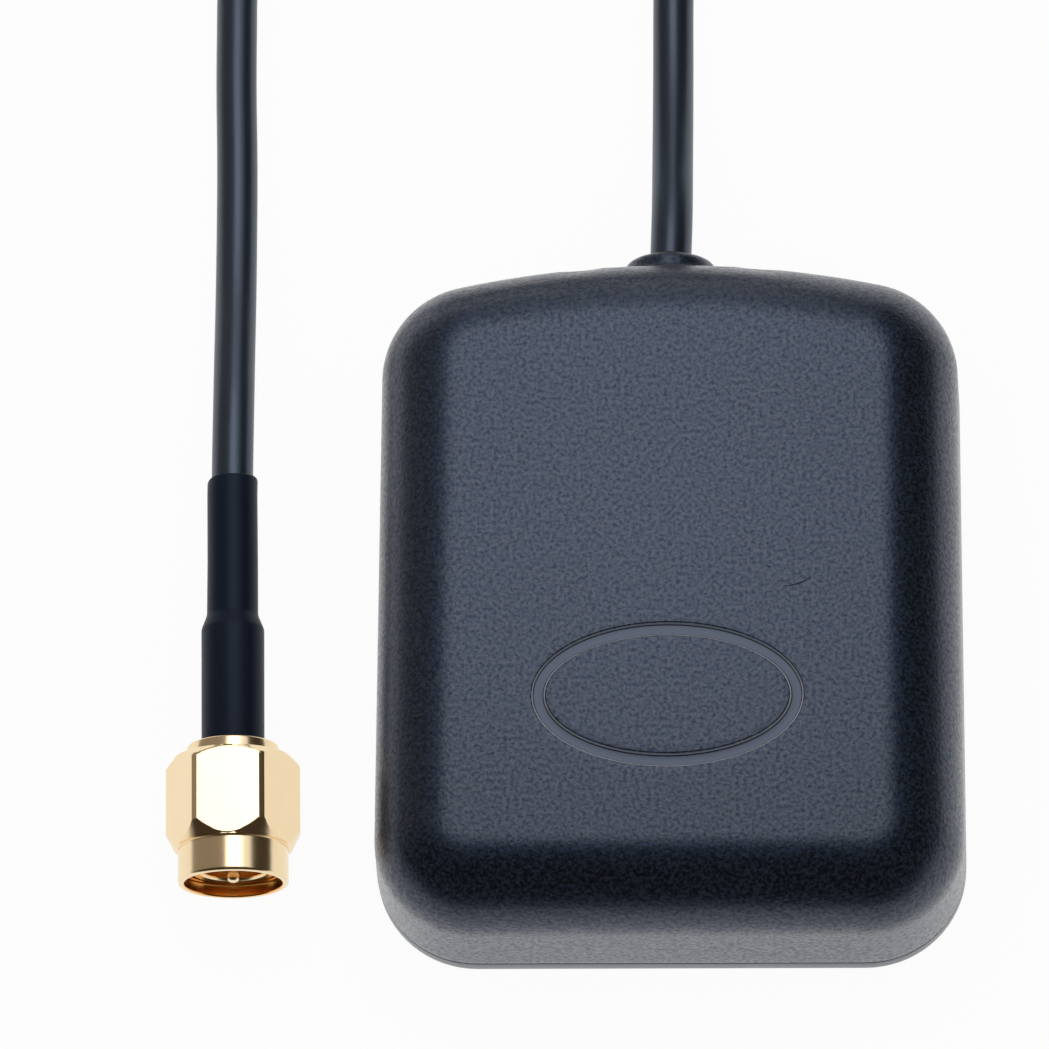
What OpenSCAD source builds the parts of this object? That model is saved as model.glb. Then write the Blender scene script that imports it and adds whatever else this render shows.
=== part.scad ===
// Positioning antenna: a low plastic housing with a ceramic patch inside and a magnet in its base,
// a thin coaxial lead that leaves through a boss in the rear wall, and a screw-on coaxial plug.
// The housing stands on z = 0, its lead leaves towards +Y, and the plug lies at its -X side.

/* [Housing] */
// Width of the housing across its foot
housing_w = 39; // [36:0.5:46]
// Length of the housing from the front wall to the middle of the rear wall
housing_l = 46.8; // [44:0.1:54]
// Height of the whole antenna with its pad
housing_h = 13; // [12.8:0.1:17]
// Thickness of the walls and of the top
housing_wall = 2; // [1.8:0.1:2.4]
// Radius of the rounding round the top edge
top_round_r = 5.3; // [4:0.1:6]
// Radius of the four upright corners
corner_r = 6.7; // [5.5:0.1:8]
// How far the middle of the rear wall stands beyond its ends
rear_bow = 2.93; // [2:0.01:3.6]
// Lean of each wall between its foot and the rounding
wall_draft = 0.25; // [0.1:0.05:0.6]
// Width of the oval border line on the top, from outside to outside
oval_w = 17.7; // [12:0.1:22]
// Length of the oval border line on the top, from outside to outside
oval_l = 9.8; // [7:0.1:13]
// Width of the groove that draws the oval
oval_line_w = 0.9; // [0.5:0.05:1.4]
// Depth of the groove that draws the oval
oval_depth = 0.3; // [0.15:0.05:0.5]
// Distance from the front wall to the middle of the oval
oval_from_front = 15.1; // [12:0.1:18]

/* [Lead boss] */
// Radius of the boss round the lead's way out
boss_r = 3.1; // [2.9:0.1:4.4]
// How far the boss stands out from the middle of the rear wall
boss_out = 1.05; // [0.5:0.05:1.5]
// Radius of the rounding round the boss's outer rim
boss_round_r = 0.5; // [0.2:0.05:0.8]

/* [Base] */
// Thickness of the base plate
plate_t = 1.6; // [1.5:0.1:2.2]
// Thickness of the soft pad under the plate
pad_t = 0.8; // [0.5:0.05:1]
// How far the pad stands below the plate
pad_proud = 0.2; // [0.1:0.05:0.4]
// Distance from the plate's edge to the pad's edge
pad_margin = 2.6; // [2.2:0.1:3.4]
// Height of the locating rim inside the walls
rim_h = 1.5; // [1:0.1:2.5]
// Thickness of the locating rim
rim_t = 1; // [0.7:0.1:1.3]
// Gap between the locating rim and the walls
rim_gap = 0.15; // [0.05:0.05:0.3]
// Width of the sealing ring in the foot of the walls
seal_w = 0.9; // [0.6:0.05:1]
// Height of the sealing ring
seal_h = 0.8; // [0.5:0.05:1.2]
// Gap at each side of the sealing ring
seal_gap = 0.05; // [0.02:0.01:0.1]

/* [Screws] */
// Distance from the walls' outside to the screws' centres
boss_inset = 6; // [5.8:0.1:6.6]
// Radius of the screw posts in the housing
post_r = 2.4; // [2:0.1:2.6]
// Radius of a screw's shank
screw_r = 0.95; // [0.7:0.05:1.1]
// Length of a screw below its head
screw_l = 5; // [3:0.5:7]
// Radius of a screw's head
screw_head_r = 1.7; // [1.5:0.05:1.9]
// Height of a screw's head
screw_head_t = 0.7; // [0.5:0.05:0.8]
// Gap round a screw in its holes
screw_gap = 0.05; // [0.02:0.01:0.12]
// Width of the cross-shaped slot in a screw's head
slot_w = 0.4; // [0.3:0.05:0.5]
// Depth of the cross-shaped slot
slot_depth = 0.4; // [0.2:0.05:0.45]

/* [Magnet] */
// Radius of the magnet
magnet_r = 9; // [7:0.5:9.5]
// Thickness of the magnet
magnet_t = 2.2; // [1.5:0.1:2.4]
// Gap between the magnet and the ring that holds it
magnet_gap = 0.1; // [0.05:0.05:0.3]
// Thickness of the ring round the magnet
ring_t = 0.8; // [0.6:0.1:1.2]
// Height of the ring round the magnet
ring_h = 1.4; // [1:0.1:1.5]

/* [Electronics] */
// Distance from the screws' centres in to the ceramic patch's sides
patch_side_gap = 1; // [0.8:0.1:2]
// Distance from the screws' centres in to the ceramic patch's front and rear edges
patch_end_gap = 3; // [2.8:0.1:4]
// Gap between the ceramic patch and the inside of the top
patch_top_gap = 1.5; // [1.2:0.1:2.4]
// Least thickness of the ceramic patch where the housing is made lower
patch_least_t = 0.6; // [0.5:0.1:1]
// Margin between the patch's edge and its silvered square
electrode_margin = 2.4; // [1.5:0.1:4]
// Thickness of the silvered square
electrode_t = 0.1; // [0.05:0.05:0.2]
// Thickness of the double-sided tape under the patch
tape_t = 0.2; // [0.1:0.05:0.3]
// Gap between the board's sides and the walls
board_side_gap = 2.75; // [2:0.05:3]
// Gap between the board's front and rear edges and the walls
board_end_gap = 4; // [3.5:0.1:4.5]
// Thickness of the board
board_t = 0.8; // [0.6:0.1:1]
// Gap between the board's notches and the screw posts
notch_gap = 0.2; // [0.1:0.05:0.4]
// Radius of the pegs that hold the board from below and above
peg_r = 0.7; // [0.5:0.05:0.8]
// Width of the shield can
can_w = 17; // [15:0.5:18]
// Length of the shield can
can_l = 15; // [13:0.5:16]
// Height of the shield can
can_h = 1.9; // [1.7:0.1:2.2]
// Thickness of the shield can's sheet
can_t = 0.2; // [0.15:0.05:0.3]
// Gap between the magnet and the shield can
can_gap = 0.3; // [0.2:0.1:0.8]
// Radius of the feed pin
feed_r = 0.4; // [0.3:0.05:0.5]
// Radius of the feed pin's soldered head
feed_head_r = 1.1; // [0.9:0.1:1.4]
// Height of the feed pin's soldered head
feed_head_t = 0.3; // [0.2:0.05:0.4]
// How far the feed pin comes through the board
feed_out = 0.5; // [0.3:0.1:0.8]
// Gap round the feed pin in its holes
feed_gap = 0.1; // [0.05:0.05:0.2]
// Distance of the feed pin in front of the patch's middle
feed_from_middle = 1.8; // [1.2:0.1:2.4]
// Width and length of the amplifier chip
chip_size = 2; // [1.6:0.1:2.4]
// Height of the amplifier chip
chip_h = 0.8; // [0.6:0.05:1]
// Width and length of the band filter
filter_size = 3; // [2.5:0.1:3.2]
// Height of the band filter
filter_h = 1.1; // [0.8:0.1:1.3]
// Distance of the chip and the filter from the middle of the board, left and right
chip_offset = 3.4; // [3:0.1:3.8]
// Length of one of the small resistors and capacitors
passive_l = 1; // [0.8:0.1:1.2]
// Width of one of the small resistors and capacitors
passive_w = 0.5; // [0.4:0.05:0.6]
// Distance between two of the small resistors and capacitors
passive_pitch = 2.4; // [2:0.1:2.6]

/* [Lead] */
// Outer diameter of the lead's jacket
lead_d = 2.8; // [2.6:0.05:2.85]
// Radius of the braid
braid_r = 0.95; // [0.9:0.01:1]
// Radius of the inner insulation
dielectric_r = 0.76; // [0.7:0.02:0.8]
// Radius of the inner wire
wire_r = 0.25; // [0.2:0.01:0.3]
// Gap between the braid and the board above it
braid_gap = 0.1; // [0.05:0.05:0.3]
// How far the jacket reaches into the housing past the wall
jacket_in = 3.2; // [2.6:0.1:3.6]
// Length of bare braid inside the housing
braid_l = 1.4; // [1:0.1:1.8]
// Length of bare insulation inside the housing
dielectric_l = 1.6; // [1:0.1:2]
// Length of bare wire inside the housing
wire_l = 2; // [1.4:0.1:2.4]
// Radius of the grommet's neck in the wall
grommet_r = 2.2; // [2:0.05:2.4]
// Radius of the grommet's inner flange
grommet_flange_r = 3; // [2.8:0.1:3.2]
// Thickness of the grommet's inner flange
grommet_flange_t = 0.8; // [0.6:0.1:1.1]
// How far the grommet stands out of the boss
grommet_out = 0.3; // [0.1:0.05:0.6]
// Gap round the grommet and round the lead in it
grommet_gap = 0.05; // [0.02:0.01:0.1]

/* [Coil] */
// Distance from one turn of the coil to the next
coil_pitch = 2.85; // [2.85:0.05:3]
// Number of turns side by side in the coil
coil_layers = 5; // [4:1:6]
// Number of turns above each other in the coil
coil_levels = 4; // [3:1:5]
// Radius of the coil's middle turns
coil_mean_r = 23.2; // [22:0.1:24]
// Thickness of the tie round the coil
tie_t = 0.8; // [0.6:0.1:1.2]
// Width of the tie
tie_w = 4; // [3:0.5:6]
// Gap between the tie and the coil's sides
tie_gap = 0.1; // [0.1:0.05:0.3]

/* [Plug] */
// Width across the flats of the coupling nut
nut_af = 7.9; // [7.8:0.05:8.2]
// Diameter over the nut's turned corners
nut_corner_d = 8.9; // [8.8:0.05:9.2]
// Length of the coupling nut
nut_l = 8.5; // [8:0.1:9.5]
// Length of the nut's round barrel
barrel_l = 2.4; // [2:0.1:2.8]
// Radius of the nut's round barrel
barrel_r = 3.65; // [3.55:0.05:3.8]
// Size of the bevel round the nut's edges
nut_bevel = 0.25; // [0.1:0.05:0.4]
// Radius of the plain bore inside the nut's mouth
mouth_r = 3.23; // [3.2:0.01:3.35]
// Depth of the plain bore inside the nut's mouth
mouth_depth = 0.9; // [0.6:0.05:1.2]
// Mean radius of the nut's thread
thread_r = 3; // [2.95:0.01:3.05]
// Length of the nut's thread
thread_l = 3.6; // [3:0.1:3.8]
// Radius of the chamber behind the thread
chamber_r = 3.2; // [3.15:0.01:3.3]
// Thickness of the nut's rear wall
rear_wall_t = 1.6; // [1.2:0.1:1.9]
// Running gap between the nut and the plug's body
nut_gap = 0.07; // [0.04:0.01:0.1]
// Radius of the body's tube in the nut
tube_r = 2.65; // [2.55:0.01:2.7]
// Radius of the open bore at the body's front
tube_bore_r = 2.1; // [2:0.05:2.15]
// Distance from the nut's mouth back to the tube's face
tube_set_back = 0.85; // [0.6:0.05:1.2]
// Distance from the tube's face back to the insulator
insulator_set_back = 1.6; // [1:0.1:2.4]
// Length of the insulator
insulator_l = 3.6; // [3:0.1:3.8]
// Gap round the insulator and round the pin in it
insulator_gap = 0.02; // [0.01:0.01:0.05]
// Radius of the contact pin
pin_r = 0.45; // [0.4:0.01:0.46]
// Radius of the pin's rear part
pin_rear_r = 0.62; // [0.58:0.01:0.7]
// Distance from the nut's mouth back to the pin's tip
pin_set_back = 0.1; // [0:0.05:0.4]
// Length of the pin's rear part behind the insulator
pin_rear_l = 1; // [0.8:0.1:1.2]
// Radius of the collar behind the nut
collar_r = 3.05; // [2.9:0.05:3.2]
// Length of the collar behind the nut
collar_l = 0.85; // [0.6:0.05:1.2]
// Outer radius of the retaining ring
snap_r = 3.05; // [3:0.01:3.1]
// Depth of the retaining ring's groove in the tube
snap_depth = 0.3; // [0.2:0.05:0.35]
// Thickness of the retaining ring
snap_t = 0.5; // [0.4:0.05:0.6]
// Gap at each side of the retaining ring
snap_gap = 0.05; // [0.03:0.01:0.1]
// Thickness of the sealing washer in the nut's chamber
washer_t = 0.8; // [0.5:0.1:0.9]
// Outer radius of the sealing washer
washer_r = 3.1; // [3:0.01:3.12]

/* [Crimp and sleeve] */
// Outer radius of the stem that the braid is crimped on
stem_r = 1.15; // [1.1:0.01:1.2]
// Radius of the bore through the stem
stem_bore_r = 0.8; // [0.8:0.01:0.85]
// Length of the stem behind the collar
stem_l = 5; // [4:0.1:5.5]
// Inner radius of the crimped ferrule
ferrule_bore_r = 1.46; // [1.45:0.01:1.5]
// Outer radius of the crimped ferrule
ferrule_r = 1.8; // [1.7:0.05:1.9]
// Length of the ferrule
ferrule_l = 8.3; // [7:0.1:9]
// Gap between the stem's end and the lead's jacket
jacket_gap = 0.4; // [0.2:0.1:0.8]
// Wall of the shrunk sleeve
sleeve_t = 0.28; // [0.2:0.01:0.35]
// Gap between the sleeve and what it grips
sleeve_gap = 0.02; // [0.01:0.01:0.04]
// Length of the sleeve from the collar to its cut end
sleeve_l = 18.7; // [16:0.1:22]
// Length of the sleeve's slope behind the ferrule
sleeve_slope_l = 1; // [0.5:0.1:1.6]

/* [Hidden] */

// How far one cut runs past the face that it opens
past = 0.5;
// Facets of a turned surface
$fn = 96;
// Facets of a shape inside a hull, and of the rounded plan
hull_sides = 32;
plan_sides = 64;
// Facets of the wide circle that bows the rear wall
bow_sides = 240;
// Thickness of one level of the hulled shell, and its number of levels in the rounding
level_t = 0.01;
round_levels = 6;
oval_sides = 72;

// Levels above the ground, from the pad up to the top
plate_z = pad_proud;
pocket_z = pad_t;
plate_top = plate_z + plate_t;
magnet_top = plate_top + magnet_t;
can_z = magnet_top + can_gap;
board_z = can_z + can_h;
board_top = board_z + board_t;
patch_z = board_top + tape_t;
ceiling_z = housing_h - housing_wall;
patch_top = max(ceiling_z - patch_top_gap, patch_z + patch_least_t);
cable_z = board_z - braid_r - braid_gap;

// Places along the housing; the boss belongs to its length, so its middle is the origin
front_y = -(housing_l + boss_out) / 2;
rear_y = front_y + housing_l;
boss_y = rear_y + boss_out;
plan_y = front_y + housing_l / 2;
bow_r = (pow(housing_w / 2, 2) + pow(rear_bow, 2)) / (2 * rear_bow);
cavity_round_r = max(top_round_r - housing_wall, 0.4);
screw_x = housing_w / 2 - boss_inset;
screw_front_y = front_y + boss_inset;
screw_rear_y = rear_y - rear_bow - boss_inset;
screw_places = [[-screw_x, screw_front_y], [screw_x, screw_front_y],
                [-screw_x, screw_rear_y], [screw_x, screw_rear_y]];
// The electronics sit midway between the front and rear pairs of screws
board_y = (screw_front_y + screw_rear_y) / 2;
patch_w = 2 * (screw_x - patch_side_gap);
patch_l = screw_rear_y - screw_front_y - 2 * patch_end_gap;
board_w = housing_w - 2 * (housing_wall + board_side_gap);
board_l = housing_l - rear_bow - 2 * (housing_wall + board_end_gap);
peg_x = (patch_w + board_w) / 4;
peg_y = patch_l / 3;
feed_y = board_y - feed_from_middle;
passive_y = board_y + can_l / 4;

// The inner face of the rear wall, and the ends of the lead's layers inside it
wall_in_y = rear_y - housing_wall - wall_draft;
grommet_in_y = wall_in_y - grommet_flange_t;
grommet_out_y = boss_y + grommet_out;
jacket_end_y = rear_y - housing_wall - jacket_in;
braid_end_y = jacket_end_y - braid_l;
dielectric_end_y = braid_end_y - dielectric_l;
wire_end_y = dielectric_end_y - wire_l;

// The plug: its mouth is a point of the layout, and depths are measured back from it
plug_x = -28.8;
plug_from_front = 4.9;
plug_y = front_y + plug_from_front;
plug_z = nut_af / 2;
plug_yaw = 1.5;
chamber_at = mouth_depth + thread_l;
rear_wall_at = nut_l - rear_wall_t;
collar_at = nut_l + snap_gap;
collar_end = collar_at + collar_l;
snap_at = rear_wall_at - snap_gap - snap_t;
washer_at = snap_at - snap_gap - washer_t;
insulator_at = tube_set_back + insulator_set_back;
insulator_end = insulator_at + insulator_l;
pin_end = insulator_end + pin_rear_l;
stem_end = collar_end + stem_l;
ferrule_end = collar_end + ferrule_l;
sleeve_end = collar_end + sleeve_l;
jacket_at = stem_end + jacket_gap;
ferrule_grip_r = ferrule_r + sleeve_gap;
lead_grip_r = lead_d / 2 + sleeve_gap;

// The coil: a round bundle past the place where both stretches of lead are heading
coil_x = -15.2;
coil_y = 87;
coil_z = tie_t;
coil_w = coil_layers * coil_pitch;
coil_h = coil_levels * coil_pitch;
coil_in_r = coil_mean_r - coil_w / 2;
coil_out_r = coil_mean_r + coil_w / 2;
outer_turn_r = coil_out_r - coil_pitch / 2;

// The lead's way from the grommet to the coil's right side, and from the sleeve to its left side
sleeve_end_point = [plug_x - sleeve_end * sin(plug_yaw), plug_y + sleeve_end * cos(plug_yaw), plug_z];
antenna_route = [[0, grommet_out_y, cable_z], [0.1, 28, 4.6], [0.1, 32, 3.3], [0.1, 36, 2.2],
                 [0.1, 40, 1.6], [0.1, 45, 1.4], [0.2, 49.5, 1.4], [0.9, 54, 1.4], [2.9, 58.5, 1.4], [6.1, 62.5, 1.4],
                 [9.4, 66, 1.4], [11.8, 70, 1.5], [13.1, 74.5, 1.7], [13.6, 79, 2.0]];
plug_route = [sleeve_end_point, [-29.6, 14, 3.7], [-29.7, 18.5, 2.9], [-29.8, 23, 2], [-29.9, 28, 1.5],
              [-30, 33, 1.4], [-30.2, 39, 1.4], [-30.3, 45, 1.4], [-30.4, 49.5, 1.4],
              [-31.3, 54, 1.4], [-33.3, 58.5, 1.4], [-36.5, 62.5, 1.5], [-39.8, 66, 1.9],
              [-42.2, 70, 2.5], [-43.5, 74.5, 3.2], [-44, 79, 3.9]];
tube_sides = 8;

function unit(v) = v / norm(v);

// Direction of a route at its point i; both ends look along the lead where it meets its neighbour
function heading(route, i, first) =
    i == 0 ? first
    : i == len(route) - 1 ? [0, 1, 0]
    : unit(unit(route[i + 1] - route[i]) + unit(route[i] - route[i - 1]));

// One ring of a tube, square to its direction; its first point lies level beside the centre
function tube_ring(centre, along) =
    let(side = unit(cross(along, [0, 0, 1])), over = cross(side, along))
    [for (k = [0:tube_sides - 1])
        let(a = (k + 0.5) * 360 / tube_sides)
        centre + lead_d / 2 * (cos(a) * side + sin(a) * over)];

module lead_tube(route, first) {
    rings = len(route);
    points = [for (i = [0:rings - 1]) each tube_ring(route[i], heading(route, i, first))];
    sides = [for (i = [0:rings - 2], k = [0:tube_sides - 1])
        let(n = (k + 1) % tube_sides, at = i * tube_sides)
        [at + k, at + n, at + tube_sides + n, at + tube_sides + k]];
    last = (rings - 1) * tube_sides;
    front = [for (k = [0:tube_sides - 1]) tube_sides - 1 - k];
    back = [for (k = [0:tube_sides - 1]) last + k];
    polyhedron(points, concat([front], sides, [back]), convexity = 6);
}

// The housing's plan at its foot, drawn in by an inset
module plan(inset) {
    translate([0, plan_y])
    offset(r = corner_r - inset, $fn = plan_sides)
    offset(delta = -corner_r)
    intersection() {
        square([housing_w, housing_l], center = true);
        translate([0, housing_l / 2 - bow_r])
        circle(r = bow_r, $fn = bow_sides);
    }
}

// A closed form with leaning walls and a rounded top edge
module rounded_form(inset, foot_z, top_z, round_r) {
    shoulder_z = top_z - round_r;
    hull() {
        translate([0, 0, foot_z])
        linear_extrude(level_t)
        plan(inset);
        for (i = [0:round_levels]) {
            a = 90 * i / round_levels;
            translate([0, 0, shoulder_z + round_r * sin(a) - level_t])
            linear_extrude(level_t)
            plan(inset + wall_draft + round_r * (1 - cos(a)));
        }
    }
}

// A ring that follows the plan between two insets
module plan_band(z, h, outer_inset, inner_inset) {
    translate([0, 0, z])
    linear_extrude(h)
    difference() {
        plan(outer_inset);
        plan(inner_inset);
    }
}

module oval(w, l) {
    polygon([for (i = [0:oval_sides - 1])
        let(a = 360 * i / oval_sides)
        [w / 2 * cos(a), l / 2 * sin(a)]]);
}

// Puts a turned piece on the lead's line through the rear wall, its base at y and its top towards +Y
module on_lead(y) {
    translate([0, y, cable_z])
    rotate([-90, 0, 0])
    children();
}

// Puts a turned piece on the plug's axis, at a depth behind the nut's mouth
module on_plug(depth) {
    translate([plug_x, plug_y, plug_z])
    rotate([0, 0, plug_yaw])
    rotate([-90, 0, 0])
    translate([0, 0, depth])
    children();
}

module tube(h, outer_r, inner_r) {
    difference() {
        cylinder(h = h, r = outer_r);
        translate([0, 0, -past])
        cylinder(h = h + 2 * past, r = inner_r);
    }
}

// The boss round the lead's way out, with a rounded rim, cut off level with the plate
module lead_boss() {
    intersection() {
        on_lead(wall_in_y)
        rotate_extrude()
        union() {
            square([boss_r, boss_y - wall_in_y - boss_round_r]);
            square([boss_r - boss_round_r, boss_y - wall_in_y]);
            translate([boss_r - boss_round_r, boss_y - wall_in_y - boss_round_r])
            circle(r = boss_round_r);
        }
        translate([-housing_w / 2, front_y, plate_top])
        cube([housing_w, housing_l + 2 * boss_out, housing_h - plate_top]);
    }
}

module board_pegs(z, h) {
    for (x = [-peg_x, peg_x], y = [board_y - peg_y, board_y + peg_y])
        translate([x, y, z])
        cylinder(h = h, r = peg_r);
}

module top_housing() {
    color([0.22, 0.25, 0.31])
    difference() {
        union() {
            difference() {
                union() {
                    rounded_form(0, plate_top, housing_h, top_round_r);
                    lead_boss();
                }
                rounded_form(housing_wall, plate_top - past, ceiling_z, cavity_round_r);
            }
            for (place = screw_places)
                translate([place[0], place[1], plate_top])
                cylinder(h = ceiling_z - plate_top + level_t, r = post_r);
            board_pegs(board_top, ceiling_z - board_top + level_t);
        }
        plan_band(plate_top - past, seal_h + past,
                  (housing_wall - seal_w) / 2 - seal_gap, (housing_wall + seal_w) / 2 + seal_gap);
        for (place = screw_places)
            translate([place[0], place[1], plate_top - past])
            cylinder(h = screw_l + past, r = screw_r + screw_gap);
        on_lead(wall_in_y - past)
        cylinder(h = boss_y - wall_in_y + 2 * past, r = grommet_r + grommet_gap);
        // A flat seat for the grommet's flange in the rounding above it
        on_lead(grommet_in_y - past)
        cylinder(h = grommet_flange_t + past, r = grommet_flange_r + grommet_gap);
        translate([0, front_y + oval_from_front, housing_h - oval_depth])
        linear_extrude(oval_depth + past)
        difference() {
            oval(oval_w, oval_l);
            oval(oval_w - 2 * oval_line_w, oval_l - 2 * oval_line_w);
        }
    }
}

module housing_seal() {
    color([0.15, 0.15, 0.16])
    plan_band(plate_top, seal_h, (housing_wall - seal_w) / 2, (housing_wall + seal_w) / 2);
}

module base_plate() {
    color([0.2, 0.22, 0.27])
    difference() {
        union() {
            translate([0, 0, plate_z])
            linear_extrude(plate_t)
            plan(0);
            difference() {
                plan_band(plate_top - level_t, rim_h + level_t,
                          housing_wall + rim_gap, housing_wall + rim_gap + rim_t);
                for (place = screw_places)
                    translate([place[0], place[1], plate_top])
                    cylinder(h = rim_h + past, r = post_r + rim_gap);
                on_lead(grommet_in_y - jacket_in)
                cylinder(h = housing_wall + jacket_in, r = grommet_flange_r + rim_gap);
            }
            translate([0, board_y, plate_top - level_t])
            tube(ring_h + level_t, magnet_r + magnet_gap + ring_t, magnet_r + magnet_gap);
            board_pegs(plate_top - level_t, board_z - plate_top + level_t);
        }
        translate([0, 0, plate_z - past])
        linear_extrude(pocket_z - plate_z + past)
        plan(pad_margin - rim_gap);
        for (place = screw_places)
            translate([place[0], place[1], 0]) {
                cylinder(h = plate_top + past, r = screw_r + screw_gap);
                translate([0, 0, pocket_z])
                cylinder(h = screw_head_t, r1 = screw_head_r + screw_gap, r2 = screw_r + screw_gap);
            }
    }
}

module base_pad() {
    color([0.1, 0.1, 0.11])
    linear_extrude(pad_t)
    plan(pad_margin);
}

module magnet() {
    color([0.55, 0.56, 0.58])
    translate([0, board_y, plate_top])
    cylinder(h = magnet_t, r = magnet_r);
}

module housing_screw(number) {
    place = screw_places[number - 1];
    color([0.6, 0.6, 0.62])
    translate([place[0], place[1], pocket_z])
    difference() {
        union() {
            cylinder(h = screw_head_t, r1 = screw_head_r, r2 = screw_r);
            cylinder(h = screw_l + plate_top - pocket_z - screw_gap, r = screw_r);
        }
        for (turn = [0, 90])
            rotate([0, 0, turn])
            translate([-screw_head_r * 0.6, -slot_w / 2, -past])
            cube([screw_head_r * 1.2, slot_w, slot_depth + past]);
    }
}

// A plate over the board's middle that keeps a margin inside the patch's edges
module patch_layer(margin, z, h) {
    translate([margin - patch_w / 2, board_y + margin - patch_l / 2, z])
    cube([patch_w - 2 * margin, patch_l - 2 * margin, h]);
}

module feed_hole(z, h) {
    translate([0, feed_y, z - past])
    cylinder(h = h + 2 * past, r = feed_r + feed_gap);
}

module ceramic_patch() {
    color([0.82, 0.72, 0.58])
    difference() {
        patch_layer(0, patch_z, patch_top - patch_z);
        feed_hole(patch_z, patch_top - patch_z);
    }
}

module patch_electrode() {
    color([0.82, 0.82, 0.84])
    difference() {
        patch_layer(electrode_margin, patch_top, electrode_t);
        feed_hole(patch_top, electrode_t);
    }
}

module feed_pin() {
    color([0.8, 0.8, 0.8])
    translate([0, feed_y, board_z - feed_out]) {
        cylinder(h = patch_top + electrode_t - board_z + feed_out, r = feed_r);
        translate([0, 0, patch_top + electrode_t - board_z + feed_out])
        cylinder(h = feed_head_t, r1 = feed_head_r, r2 = feed_r);
    }
}

module patch_tape() {
    color([0.9, 0.88, 0.8])
    difference() {
        patch_layer(0, board_top, tape_t);
        feed_hole(board_top, tape_t);
    }
}

module amplifier_board() {
    color([0.1, 0.36, 0.2])
    difference() {
        translate([-board_w / 2, board_y - board_l / 2, board_z])
        cube([board_w, board_l, board_t]);
        for (place = screw_places)
            translate([place[0], place[1], board_z - past])
            cylinder(h = board_t + 2 * past, r = post_r + notch_gap);
        feed_hole(board_z, board_t);
    }
}

// A small block that hangs under the board
module under_board(x, y, w, l, h) {
    translate([x - w / 2, y - l / 2, board_z - h])
    cube([w, l, h]);
}

module amplifier_chip() {
    color([0.08, 0.08, 0.08])
    under_board(-chip_offset, board_y, chip_size, chip_size, chip_h);
}

module band_filter() {
    color([0.85, 0.8, 0.65])
    under_board(chip_offset, board_y, filter_size, filter_size, filter_h);
}

module chip_part(number) {
    color([0.6, 0.5, 0.4])
    under_board((number - 2.5) * passive_pitch, passive_y, passive_l, passive_w, passive_w);
}

module shield_can() {
    color([0.75, 0.76, 0.78])
    translate([-can_w / 2, board_y - can_l / 2, can_z])
    difference() {
        cube([can_w, can_l, can_h]);
        translate([can_t, can_t, can_t])
        cube([can_w - 2 * can_t, can_l - 2 * can_t, can_h]);
    }
}

module cable_grommet() {
    color([0.12, 0.13, 0.15])
    on_lead(grommet_in_y)
    difference() {
        union() {
            cylinder(h = grommet_flange_t, r = grommet_flange_r);
            cylinder(h = grommet_out_y - grommet_in_y, r = grommet_r);
        }
        translate([0, 0, -past])
        cylinder(h = grommet_out_y - grommet_in_y + 2 * past, r = lead_d / 2 + grommet_gap);
    }
}

module lead_entry() {
    color([0.13, 0.14, 0.17])
    on_lead(jacket_end_y)
    cylinder(h = grommet_out_y - jacket_end_y, r = lead_d / 2);
}

module entry_braid() {
    color([0.7, 0.55, 0.4])
    on_lead(braid_end_y)
    cylinder(h = jacket_end_y - braid_end_y, r = braid_r);
}

module entry_insulation() {
    color([0.92, 0.92, 0.9])
    on_lead(dielectric_end_y)
    cylinder(h = braid_end_y - dielectric_end_y, r = dielectric_r);
}

module entry_wire() {
    color([0.8, 0.5, 0.3])
    on_lead(wire_end_y)
    cylinder(h = dielectric_end_y - wire_end_y, r = wire_r);
}

// The blob that joins the inner wire's end to the board above it
module wire_solder() {
    color([0.78, 0.78, 0.8])
    translate([0, wire_end_y, cable_z + wire_r])
    cylinder(h = board_z - cable_z - wire_r, r1 = wire_r, r2 = 2 * wire_r);
}

module lead_antenna_side() {
    color([0.13, 0.14, 0.17])
    lead_tube(antenna_route, [0, 1, 0]);
}

module lead_coil() {
    color([0.13, 0.14, 0.17])
    translate([coil_x, coil_y, coil_z])
    rotate_extrude()
    translate([coil_in_r, 0])
    square([coil_w, coil_h]);
}

// A flat band that goes once round the bundle at the coil's far side
module coil_tie() {
    bundle_in = sqrt(pow(coil_in_r, 2) - pow(tie_w / 2, 2)) - tie_gap;
    bundle_out = coil_out_r + tie_gap;
    color([0.08, 0.08, 0.09])
    translate([coil_x - tie_w / 2, coil_y, 0])
    difference() {
        translate([0, bundle_in - tie_t, 0])
        cube([tie_w, bundle_out - bundle_in + 2 * tie_t, coil_h + 2 * tie_t]);
        translate([-past, bundle_in, tie_t])
        cube([tie_w + 2 * past, bundle_out - bundle_in, coil_h]);
    }
}

module lead_plug_side() {
    color([0.13, 0.14, 0.17])
    lead_tube(plug_route, [-sin(plug_yaw), cos(plug_yaw), 0]);
}

module lead_in_sleeve() {
    color([0.13, 0.14, 0.17])
    on_plug(jacket_at)
    cylinder(h = sleeve_end - jacket_at, r = lead_d / 2);
}

module shrink_sleeve() {
    color([0.1, 0.11, 0.15])
    on_plug(0)
    rotate_extrude()
    polygon([[ferrule_grip_r, collar_end],
             [ferrule_grip_r + sleeve_t, collar_end],
             [ferrule_grip_r + sleeve_t, ferrule_end],
             [lead_grip_r + sleeve_t, ferrule_end + sleeve_slope_l],
             [lead_grip_r + sleeve_t, sleeve_end],
             [lead_grip_r, sleeve_end],
             [lead_grip_r, ferrule_end + sleeve_slope_l],
             [ferrule_grip_r, ferrule_end]]);
}

module crimp_ferrule() {
    color([0.85, 0.72, 0.42])
    on_plug(collar_end)
    tube(ferrule_l, ferrule_r, ferrule_bore_r);
}

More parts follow.
